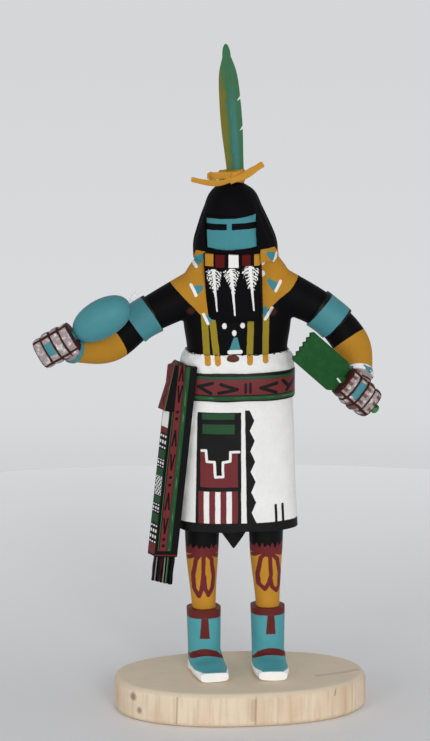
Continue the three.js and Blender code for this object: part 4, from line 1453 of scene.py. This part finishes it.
def kilt_finish(p):
    """White cloth paint with the panel, the notched band, two bars and the black hem."""
    paint = start_paint("kilt_paint", p.white, 0.6, 0.16)
    x, y, z = paint.x, paint.y, paint.z
    front = paint.fill(y - BACK + 3, 0.5)
    slant = (z - 138) * 0.02
    u = x - slant
    panel = paint.box(x, z, (-22, 86), (-0.7, 138.3)).most(-19.9 - u)
    paint.mark(p.black, panel, front)
    green = paint.box(u, z, (-17.9, 135.1), (-3.6, 137.9))
    green = green.least(paint.box(u, z, (-17.6, 128.5), (-3.5, 132.9)))
    paint.mark(p.green, green, front)
    steps = [
        (-18.1, 120.9), (-16.3, 121.0), (-15.9, 115.9), (-12.6, 115.8), (-12.2, 108.9), (-8.8, 109.0),
        (-8.9, 115.6), (-5.6, 116.2), (-5.5, 120.3), (-1.6, 120.3),
    ]
    field = paint.box(x, z, (-18.7, 104.2), (-2.2, 120.6))
    gap = paint.box(x, z, (-16.1, 115.9), (-5.6, 123)).least(paint.box(x, z, (-12.3, 109), (-8.8, 123)))
    paint.mark(p.maroon, field.most(-gap), front)
    paint.mark(p.white, paint.line(x, z, steps, 1.15), front)
    stripes = paint.box(x, z, (-19.6, 87), (-2.2, 102.4))
    paint.mark(p.maroon, stripes, front)
    for low, high in ((-17.3, -14.9), (-12.3, -10.0), (-7.3, -4.9)):
        paint.mark(p.white, paint.box(x, z, (low, 87), (high, 102.2)), front)
    tooth = z.scaled(1, -134.5 + 9.36 * 20).folded(4.68)
    reach = tooth.scaled(-0.45, 5.1) + (z - 138) * -0.022
    notched = (x - reach).most(x.scaled(-1, 1.0) - (z - 138) * 0.016).most(z - 139.2)
    paint.mark(p.black, notched, front)
    bars = paint.line(x, z, [(14.9, 95.2), (15.4, 86)], 1.25)
    bars = bars.least(paint.line(x, z, [(18.1, 95.4), (18.6, 86)], 1.15))
    paint.mark(p.black, bars, front)
    paint.coat(p.black, z - (HEM + 4.1))
    return paint.done(strokes=(0.9, 0.9, 0.5))


def leg_finish(p):
    """Ochre legs, black above a ragged edge, with maroon ties and their loops."""
    paint = start_paint("leg_paint", p.ochre, 0.5)
    x, y, z = paint.x, paint.y, paint.z
    front = paint.fill(y - LEG_BACK + 1, 0.5)
    edge = abs(x + 16).least(abs(x - 12.6)).least(7)
    paint.coat(p.maroon, paint.band(z, 70.6, 76) + edge.scaled(-0.12, 0.5))
    loops = (
        [
            (-16.6, 71.6), (-19.6, 68), (-20.7, 60), (-20.2, 54), (-18.2, 50.6), (-16.9, 54), (-16.4, 60),
            (-16.2, 70),
        ],
        [(-15.6, 71.6), (-12.6, 68), (-11.6, 60), (-12.0, 54.5), (-13.9, 51), (-15.3, 54), (-16.0, 60)],
        [(12.6, 71.4), (9.6, 68), (8.4, 60), (9.0, 55.5), (11.7, 53.2), (13.4, 56), (14.3, 60), (13.6, 70)],
        [(13.2, 71.4), (17.2, 67), (18.5, 60), (18.2, 54.5), (17.0, 52.2), (14.8, 54.4), (14.2, 58)],
        [(-22.6, 68.6), (-16.0, 72.4), (-9.6, 68.8)], [(6.4, 69.2), (12.6, 72.2), (19.0, 69.4)],
    )
    for points in loops:
        paint.mark(p.maroon, paint.line(x, z, points, 1.9), front)
    for spot in ((-16.0, 72), (12.6, 71.6)):
        paint.mark(p.maroon, paint.disc(x, z, spot, 2.6, 1.2), front)
    ragged = paint.noise(0.5, 2.0) * 4.5 + x.folded(1.15) * 1.5
    paint.coat(p.black, (ragged + 70.6) - z)
    return paint.done(specular=0.12)


def moccasin_finish(p):
    """Turquoise moccasins with maroon cuffs, a strip down the front, an ankle tie and a white sole."""
    paint = start_paint("moccasin_paint", p.moccasin, 0.5, 0.18)
    x, y, z = paint.x, paint.y, paint.z
    front = paint.fill(y - LEG_BACK + 1, 0.5)
    for middle, top, strip_low, band_low, band_high in (
        (-15.75, 40.5, 31.1, 23.2, 26.4), (14.2, 41.2, 32.5, 23.0, 26.0),
    ):
        here = paint.fill(x) if middle < 0 else paint.fill(-x)
        paint.mark(p.cuff, z.scaled(-1, top), here)
        spread = (z - top) * -0.07
        strip = (abs(x - middle) - spread.scaled(1, 1.6)).most(z.scaled(-1, strip_low)).most(z - top)
        paint.coat(p.cuff, share=paint.fill(strip) * here * front)
        off = abs(x - middle)
        tie = (z + off * off * 0.055 - band_high).most(z.scaled(-1, band_low) - off * off * 0.02)
        paint.mark(p.cuff, tie, here)
    # Painted light: the sole takes a brighter copy of the white, lifting it where it sits low in the light.
    paint.coat(tuple(min(1, c * 1.14) for c in p.white), z - 20.0)
    return paint.done()


def sash_finish(p):
    """Front: maroon with marks between green lines. Side: brocade rows. Also the flap and the fringe."""
    paint = start_paint("sash_paint", p.black, 0.55, 0.14)
    x, y, z = paint.x, paint.y, paint.z
    down = z.scaled(-1 / SASH_LENGTH, SASH_TOP / SASH_LENGTH)
    u = x + down * SASH_DRIFT - SASH_RIDGE[0]
    v = y - down * 2 - SASH_RIDGE[1]
    front = paint.fill(v - 0.8, 0.3)
    bands_end = 74.9
    above = z.scaled(-1, bands_end)
    streaks = highlight_dashes(paint, (1.5, 1.5, 0.12))
    paint.mark(p.maroon, paint.band(u, 0.9, 3.9).most(above), front)
    paint.mark(p.green, paint.band(u, 4.1, 6.1).most(above), front)
    # Painted highlight: broken bright streaks along the green line.
    paint.coat(p.bright_green_and_highlight, share=paint.fill(paint.band(u, 5.0, 5.4).most(above)) * front * streaks)
    paint.coat(p.bright_green_and_highlight, share=paint.fill(paint.band(u, 0.2, 0.5).most(above)) * front * 0.5)
    middle = 2.4
    marks = None
    for low, high, point in (
        (153, 160, 1), (143.4, 150.8, -1), (123.2, 130.4, 1),
        (112.2, 119.2, -1), (94, 101.6, 1), (83, 89.9, -1),
    ):
        foot, tip = (low, high) if point > 0 else (high, low)
        mark = paint.line(u, z, [(middle - 0.85, foot), (middle, tip), (middle + 0.85, foot)], 0.75)
        marks = mark if marks is None else marks.least(mark)
    for height in (138.8, 135.6, 108.8, 105.3, 80.3, 77.3):
        marks = marks.least(paint.disc(u, z, (middle, height), 0.72))
    paint.mark(p.black, marks, front)
    paint.mark(p.maroon, paint.band(z, 72.6, 73.1), front)
    side = paint.fill(v.scaled(-1, 1.2), 0.3) * paint.fill(v - 6.8)
    swing = v.scaled(1, 40).folded(1.05)
    blocks = (
        (p.white, 131.1, 138.4, None), (p.maroon, 128.4, 131.1, None), (p.green, 116.9, 120.6, None),
        (p.green, 108.9, 112.2, None), (p.green, 96.4, 99.4, None), (p.green, 87.2, 91.4, None),
        (p.maroon, 73.0, 77.6, None),
        (p.white, 121.4, 127.4, (2.9, 0.75)), (p.white, 112.9, 116.3, (1.7, 0.5)),
        (p.white, 92.2, 95.8, (1.8, 0.5)), (p.white, 78.1, 86.2, (2.7, 0.7)),
    )
    for colour, low, high, rows in blocks:
        shape = paint.band(z, low, high)
        if rows:
            shape = shape.most(z.scaled(1, -low).folded(rows[0] / 2) - rows[1]).most(swing - 0.62)
        paint.mark(colour, shape, side)
    cross = (z.scaled(1, -99.6) + v).folded(1.05).least((z.scaled(1, -99.6 + 42) - v).folded(1.05)) - 0.3
    paint.mark(p.white, cross.most(paint.band(z, 99.9, 108.6)), side)
    flap = paint.fill((SASH_TOP + 1 - FLAP_LENGTH) - z) * paint.fill(u - 0.6)
    paint.coat(p.black, share=flap)
    outer = paint.fill(v.scaled(-1, 1.5))
    paint.coat(p.maroon, share=flap * outer)
    turns = [(2.6, 141.5), (4.6, 144), (2.6, 146.5), (4.6, 149), (2.6, 151.5), (4.6, 154)]
    fleck = paint.line(v, z, turns, 0.8)
    paint.coat(p.black, share=paint.fill(fleck) * flap * outer)
    paint.coat(p.olive_line, share=flap * paint.fill(paint.band(v, 0.7, 1.4)))
    fringe = paint.fill(z - 71.9)
    for across, colour in ((0.3, p.knuckle), (2.7, p.maroon), (4.0, p.knuckle), (5.3, p.bright_green_and_highlight)):
        strand = paint.fill(paint.band(u, across - 0.22, across + 0.22))
        paint.coat(colour, share=strand * fringe * front * 0.75)
    return paint.done(strokes=(1.2, 1.2, 0.2), specular=0.1)


def feather_finish(p):
    """Green above, olive along its left edge and blue low in its middle."""
    paint = start_paint("feather_paint", p.feather_green, 0.5, 0.1)
    off = paint.vector("SUBTRACT", paint.wood, tuple(FEATHER.centre))
    u = paint.vector("DOT_PRODUCT", off, tuple(FEATHER.side), out="Value")
    h = paint.vector("DOT_PRODUCT", off, tuple(FEATHER.axis), out="Value")
    cloud = paint.noise(0.25, 3.0) - 0.5
    low = h.scaled(-1 / 16, 48 / 16, clamp=True)
    olive = (u + cloud * 3.0).scaled(-0.5, -0.5, clamp=True)
    paint.coat(p.feather_olive, share=olive * h.scaled(-1 / 14, 56 / 14, clamp=True))
    blue = (abs(u - 0.9 + cloud * 1.5)).scaled(-0.8, 1.5, clamp=True)
    paint.coat(p.feather_blue, share=blue * low)
    return paint.done(strokes=(3, 3, 0.3), relief=0.12, tone=0.3, specular=0.12)


def wood_finish(p):
    """Pale wood: grain along the slab's top, upright streaks round its rim, knots and fine cracks."""
    paint = start_paint("pale_wood", p.wood_pale, 0.62, 0.1)
    long_way = paint.vector("MULTIPLY", paint.wood, (0.045, 0.32, 0.3))
    warp = paint.node("TexNoise", {}, out="Color", Vector=long_way, Scale=1.0, Detail=3.0)
    moved = paint.vector("ADD", paint.wood, paint.vector("SCALE", warp, Scale=9.0))
    x, y, z = paint.split(moved)
    ring = (y * y + (z + 46) * (z + 46))
    ring = ring._with("SQRT", ring)
    grain = ring.folded(1.5).scaled(0.5, 0)
    paint.coat(p.wood_dark, share=grain * 0.35)
    fibre = paint.noise(1.6, 3.0, stretch=(0.05, 1.2, 1.2))
    paint.coat(p.wood_dark, share=fibre.scaled(1.6, -0.75, clamp=True) * 0.5)
    x, y, z = paint.x, paint.y, paint.z
    out = (x * x).scaled((2 / SLAB_LENGTH) ** 2, 0) + (y * y).scaled((2 / SLAB_DEPTH) ** 2, 0)
    rim = out.scaled(9, -8.1, clamp=True) * paint.fill(z - SLAB_THICKNESS + 1.2, 1.6)
    paint.coat(tuple(min(1, c * 1.2) for c in p.wood_pale), share=(1 - rim) * 0.7)
    paint.coat(p.wood_rim, share=rim)
    streak = paint.noise(0.5, 4.0, stretch=(1, 1, 0.07))
    paint.coat(p.wood_dark, share=streak.scaled(4.5, -2.2, clamp=True) * rim * 0.4)
    patch = paint.noise(0.06, 2.0, stretch=(1, 1, 0.3))
    paint.coat(p.wood_warm, share=patch.scaled(5, -2.3, clamp=True) * rim * 0.45)
    before = paint.fill(y + 5, 4) * rim
    for across, low, high, width, share in (
        (-31.8, 1.5, 13.5, 0.7, 0.5), (3.0, 1.5, 14.5, 0.9, 0.45),
        (2.0, 4, 12, 2.6, 0.3), (39.7, 11.5, 14, 0.8, 0.5),
    ):
        crack = paint.line(x, z, [(across, low), (across + 0.4, high)], width)
        paint.coat(p.knot, share=paint.fill(crack, 0.5) * before * share)
    for spot, radius in (((-50, 11.2), 1.1), ((-47.5, 5.4), 0.9)):
        paint.coat(p.knot, share=paint.fill(paint.disc(x, z, spot, radius, 1.6), 0.9) * before * 0.7)
    smudge = paint.line(x, y, [(34, -10), (46, -6), (53, -2)], 1.8)
    paint.coat(p.knot, share=paint.fill(smudge, 2.5) * (1 - rim) * 0.35)
    return paint.done(strokes=(0.06, 1.5, 1.5), relief=0.08, tone=0.12, specular=0.15)


def bough_finish(p):
    """Dark green needles with lighter strokes along their ends."""
    paint = start_paint("bough_paint", p.leaf, 0.6, 0.2)
    light = paint.noise(0.35, 3.0).scaled(3, -1.4, clamp=True)
    paint.coat(tuple(min(1, c * 1.5 + 0.01) for c in p.leaf), share=light * 0.4)
    paint.coat(tuple(min(1, c * 2.4 + 0.05) for c in p.leaf), paint.z - 141)
    paint.coat(p.white, share=paint.fill(paint.line(paint.x, paint.z, [(40.8, 155.3), (42.0, 153.7)], 0.8)))
    return paint.done(relief=0.14, tone=0.25, specular=0.1)


VIEW_TURN = -6
VIEW_RISE = 12.6
VIEW_FAR = 2.2
VIEW_TARGET = (-0.0112, 0, 0.1551)
PICTURE_SCALE = 0.000445
PICTURE_HEIGHT = 741


class DOLL_OT_wood_base(bpy.types.Operator):
    """Turn the slab, with its eased edges and its grain"""

    bl_idname = "doll.wood_base"
    bl_label = "Wood slab"
    bl_options = {"REGISTER", "UNDO"}

    def execute(self, context):
        paints, doll = context.scene.doll_paints, context.scene.doll_sizes
        finish = {"": wood_finish(paints)}
        slab_piece = carved("slab", [slab(doll.slab_round / MM)], finish)
        finished(slab_piece, "wood_base")
        return {"FINISHED"}


class DOLL_OT_figure(bpy.types.Operator):
    """Carve and paint the figure in one piece"""

    bl_idname = "doll.figure"
    bl_label = "Figure"
    bl_options = {"REGISTER", "UNDO"}

    def execute(self, context):
        paints, doll = context.scene.doll_paints, context.scene.doll_sizes
        finishes = {
            "body": body_finish(paints),
            "hair": hair_finish(paints),
            "beard": beard_finish(paints),
            "armband": arm_band_finish(paints),
            "bracelet": bracelet_finish(paints),
            "right_fist": fist_finish("right_fist_paint", RIGHT_FIST, RIGHT_RING, False, paints),
            "left_fist": fist_finish("left_fist_paint", LEFT_FIST, LEFT_RING, True, paints),
            "roll": roll_finish(paints),
            "belt": belt_finish(paints),
            "kilt": kilt_finish(paints),
            "leg": leg_finish(paints),
            "moccasin": moccasin_finish(paints),
            "tail": plain_finish("tail_paint", paints.black, 0.48),
        }
        arms = [limb(path, 0, 1, ARM_WIDTH, 60, 70, "body") for path in (RIGHT_ARM, LEFT_ARM)]
        core = carved("carved_figure_skin", [torso(), *arms], finishes)
        remeshed(core, doll.skin / MM, 10, 0)
        marks = whittled(doll.whittle / MM, 4.0)
        rest = [kilt(), belt(), waist_roll(), back_tail(), back_hair(), head(), beard()]
        for side in (-1, 1):
            rest += [leg(side), shaft(side), foot(side)]
        bands = ((RIGHT_ARM, RIGHT_BANDS), (LEFT_ARM, LEFT_BANDS))
        for path, (armband, bracelet) in bands:
            rest.append(arm_band(path, armband, ARMBAND_LENGTH, ARMBAND_PROUD, "armband"))
            rest.append(arm_band(path, bracelet, BRACELET_LENGTH, BRACELET_PROUD, "bracelet"))
        rest += fist(RIGHT_FIST, "right_fist") + fist(LEFT_FIST, "left_fist")
        rest = [solid if solid.finish == "roll" else solid.shaped(marks) for solid in rest]
        held = [rattle(SEAT_GAP, "right_fist"), bough_stem(SEAT_GAP, "left_fist")]
        cuts = [feather(SEAT_GAP), *held, tie_seat()]
        figure = carved("figure", [core, *rest], finishes, cuts)
        field = mask_field(finishes)
        step = figure.modifiers.new("mask", "BOOLEAN")
        step.operation, step.solver, step.object = "DIFFERENCE", "MANIFOLD", field
        applied(figure)
        mesh = field.data
        bpy.data.objects.remove(field)
        bpy.data.meshes.remove(mesh)
        finished(figure, "carved_figure")
        return {"FINISHED"}


class DOLL_OT_sash(bpy.types.Operator):
    """Hang the sash with its flap and fringe"""

    bl_idname = "doll.sash"
    bl_label = "Sash"
    bl_options = {"REGISTER", "UNDO"}

    def execute(self, context):
        paints, doll = context.scene.doll_paints, context.scene.doll_sizes
        finish = {"": sash_finish(paints)}
        cuts = [kilt(SEAT_GAP), belt(SEAT_GAP), waist_roll(SEAT_GAP)]
        sash = carved("sash", sash_solids(doll.fringe_gap), finish, cuts)
        finished(sash, "sash_tail")
        return {"FINISHED"}


class DOLL_OT_crest(bpy.types.Operator):
    """Set the feather and tie the ochre strip round its foot"""

    bl_idname = "doll.crest"
    bl_label = "Feather and tie"
    bl_options = {"REGISTER", "UNDO"}

    def execute(self, context):
        paints = context.scene.doll_paints
        splits = [feather_split(0.44), feather_split(0.665)]
        blade = carved("feather", [feather(carve=True)], {"": feather_finish(paints)}, splits)
        finished(blade, "head_feather")
        tie_paint = {"": plain_finish("tie_paint", paints.ochre, 0.55, relief=0.16)}
        tie = carved("tie", crown_tie(), tie_paint, [feather(SEAT_GAP)])
        finished(tie, "crown_tie")
        return {"FINISHED"}


class DOLL_OT_rattle(bpy.types.Operator):
    """Put the rattle and its down tuft in the right hand"""

    bl_idname = "doll.rattle"
    bl_label = "Rattle"
    bl_options = {"REGISTER", "UNDO"}

    def execute(self, context):
        paints, doll = context.scene.doll_paints, context.scene.doll_sizes
        gourd_paint = {"": plain_finish("gourd_paint", paints.turquoise, 0.48)}
        gourd = carved("gourd", [rattle()], gourd_paint)
        finished(gourd, "gourd_rattle")
        down_paint = {"": plain_finish("down_fibre", paints.white, 0.85, relief=0.05)}
        tuft = carved("tuft", down_tuft(doll.tuft_barbs), down_paint)
        finished(tuft, "rattle_down_feather")
        return {"FINISHED"}


class DOLL_OT_bough(bpy.types.Operator):
    """Put the evergreen bough in the left hand"""

    bl_idname = "doll.bough"
    bl_label = "Evergreen bough"
    bl_options = {"REGISTER", "UNDO"}

    def execute(self, context):
        paints = context.scene.doll_paints
        bough = carved("bough", [bough_leaves(), bough_stem()], {"": bough_finish(paints)})
        finished(bough, "evergreen_bough")
        return {"FINISHED"}


class DOLL_OT_stage(bpy.types.Operator):
    """Lay the pale table, the soft light and the camera"""

    bl_idname = "doll.stage"
    bl_label = "Stage"
    bl_options = {"REGISTER", "UNDO"}

    def execute(self, context):
        look = context.scene.doll_stage
        angle = np.arange(256) * TAU / 256
        reach = look.reach / MM
        rings = [stacked(np.cos(angle) * r, np.sin(angle) * r, z) for r, z in ((reach, -3), (reach, -0.02))]
        table_paint = start_paint("table_paint", look.floor, 0.5, 0.0)
        far_glow = table_paint.y.scaled(0.0005, -0.011, clamp=True).least(look.table_glow)
        glow = table_paint.node("CombineXYZ", {}, far_glow, far_glow, far_glow)
        table_finish = table_paint.done(relief=0.01, tone=0.02, specular=0.1, glow=glow)
        table = carved("table", [loft(rings)], {"": table_finish})

        world = bpy.data.worlds.new("surround")
        context.scene.world = world
        world.use_nodes = True
        nodes, links = world.node_tree.nodes, world.node_tree.links
        way = nodes.new("ShaderNodeTexCoord")
        split = nodes.new("ShaderNodeSeparateXYZ")
        links.new(way.outputs["Generated"], split.inputs[0])
        fade = nodes.new("ShaderNodeMapRange")
        fade.inputs["From Min"].default_value = -1
        links.new(split.outputs[2], fade.inputs["Value"])
        ramp = nodes.new("ShaderNodeValToRGB")
        links.new(fade.outputs[0], ramp.inputs[0])
        stops = ramp.color_ramp.elements
        for height, share in ((-0.238, 0.9), (-0.226, 1), (-0.2, 1), (-0.158, 0.96), (0.1, 1)):
            stops.new((height + 1) / 2).color = (*[c * share for c in look.wall], 1)
        stops[0].color = (*[c * 0.9 for c in look.wall], 1)
        stops[-1].color = (*[c * look.overhead for c in look.wall], 1)
        links.new(ramp.outputs[0], nodes["Background"].inputs[0])

        for name, place, size, share in (
            ("key light", (0.25, -2.4, 0.8), 0.8, 1.05), ("side light", (-1.3, -1.9, 0.7), 0.8, 0.35),
        ):
            light = bpy.data.lights.new(name, "AREA")
            light.shape = "DISK"
            light.size = size
            light.energy = look.key * share
            lamp = bpy.data.objects.new(name, light)
            lamp.location = place
            lamp.rotation_euler = (Vector((0, 0, 0.15)) - Vector(place)).to_track_quat("-Z", "Y").to_euler()
            context.scene.collection.objects.link(lamp)

        turn, rise = math.radians(VIEW_TURN), math.radians(VIEW_RISE)
        target = Vector(VIEW_TARGET)
        back = Vector((math.sin(turn) * math.cos(rise), -math.cos(turn) * math.cos(rise), math.sin(rise)))
        view = bpy.data.cameras.new("view")
        view.sensor_fit = "VERTICAL"
        view.sensor_height = 36
        view.lens = 36 * VIEW_FAR / (PICTURE_SCALE * PICTURE_HEIGHT)
        camera = bpy.data.objects.new("view", view)
        camera.location = target + back * VIEW_FAR
        camera.rotation_euler = (-back).to_track_quat("-Z", "Y").to_euler()
        context.scene.collection.objects.link(camera)
        context.scene.camera = camera
        context.scene.view_settings.view_transform = "Standard"
        return {"FINISHED"}


class DOLL_PT_panel(bpy.types.Panel):
    """Lists the builders of the carved figure"""

    bl_idname = "DOLL_PT_panel"
    bl_label = "Carved figure"
    bl_space_type = "VIEW_3D"
    bl_region_type = "UI"
    bl_category = "Carved figure"

    def draw(self, context):
        for builder in BUILDERS:
            self.layout.operator(builder.bl_idname)
        for group in (context.scene.doll_sizes, context.scene.doll_paints, context.scene.doll_stage):
            for key in group.__annotations__:
                self.layout.prop(group, key)


BUILDERS = (
    DOLL_OT_stage, DOLL_OT_wood_base, DOLL_OT_figure, DOLL_OT_sash, DOLL_OT_crest, DOLL_OT_rattle,
    DOLL_OT_bough,
)
CLASSES = (DollPaints, DollSizes, StageLook, *BUILDERS, DOLL_PT_panel)


def register():
    for kind in CLASSES:
        bpy.utils.register_class(kind)
    bpy.types.Scene.doll_paints = PointerProperty(type=DollPaints)
    bpy.types.Scene.doll_sizes = PointerProperty(type=DollSizes)
    bpy.types.Scene.doll_stage = PointerProperty(type=StageLook)


def unregister():
    del bpy.types.Scene.doll_paints, bpy.types.Scene.doll_sizes, bpy.types.Scene.doll_stage
    for kind in reversed(CLASSES):
        bpy.utils.unregister_class(kind)


def main():
    register()
    bpy.ops.doll.stage()
    bpy.ops.doll.wood_base()
    bpy.ops.doll.figure()
    bpy.ops.doll.sash()
    bpy.ops.doll.crest()
    bpy.ops.doll.rattle()
    bpy.ops.doll.bough()


if __name__ == "__main__":
    main()
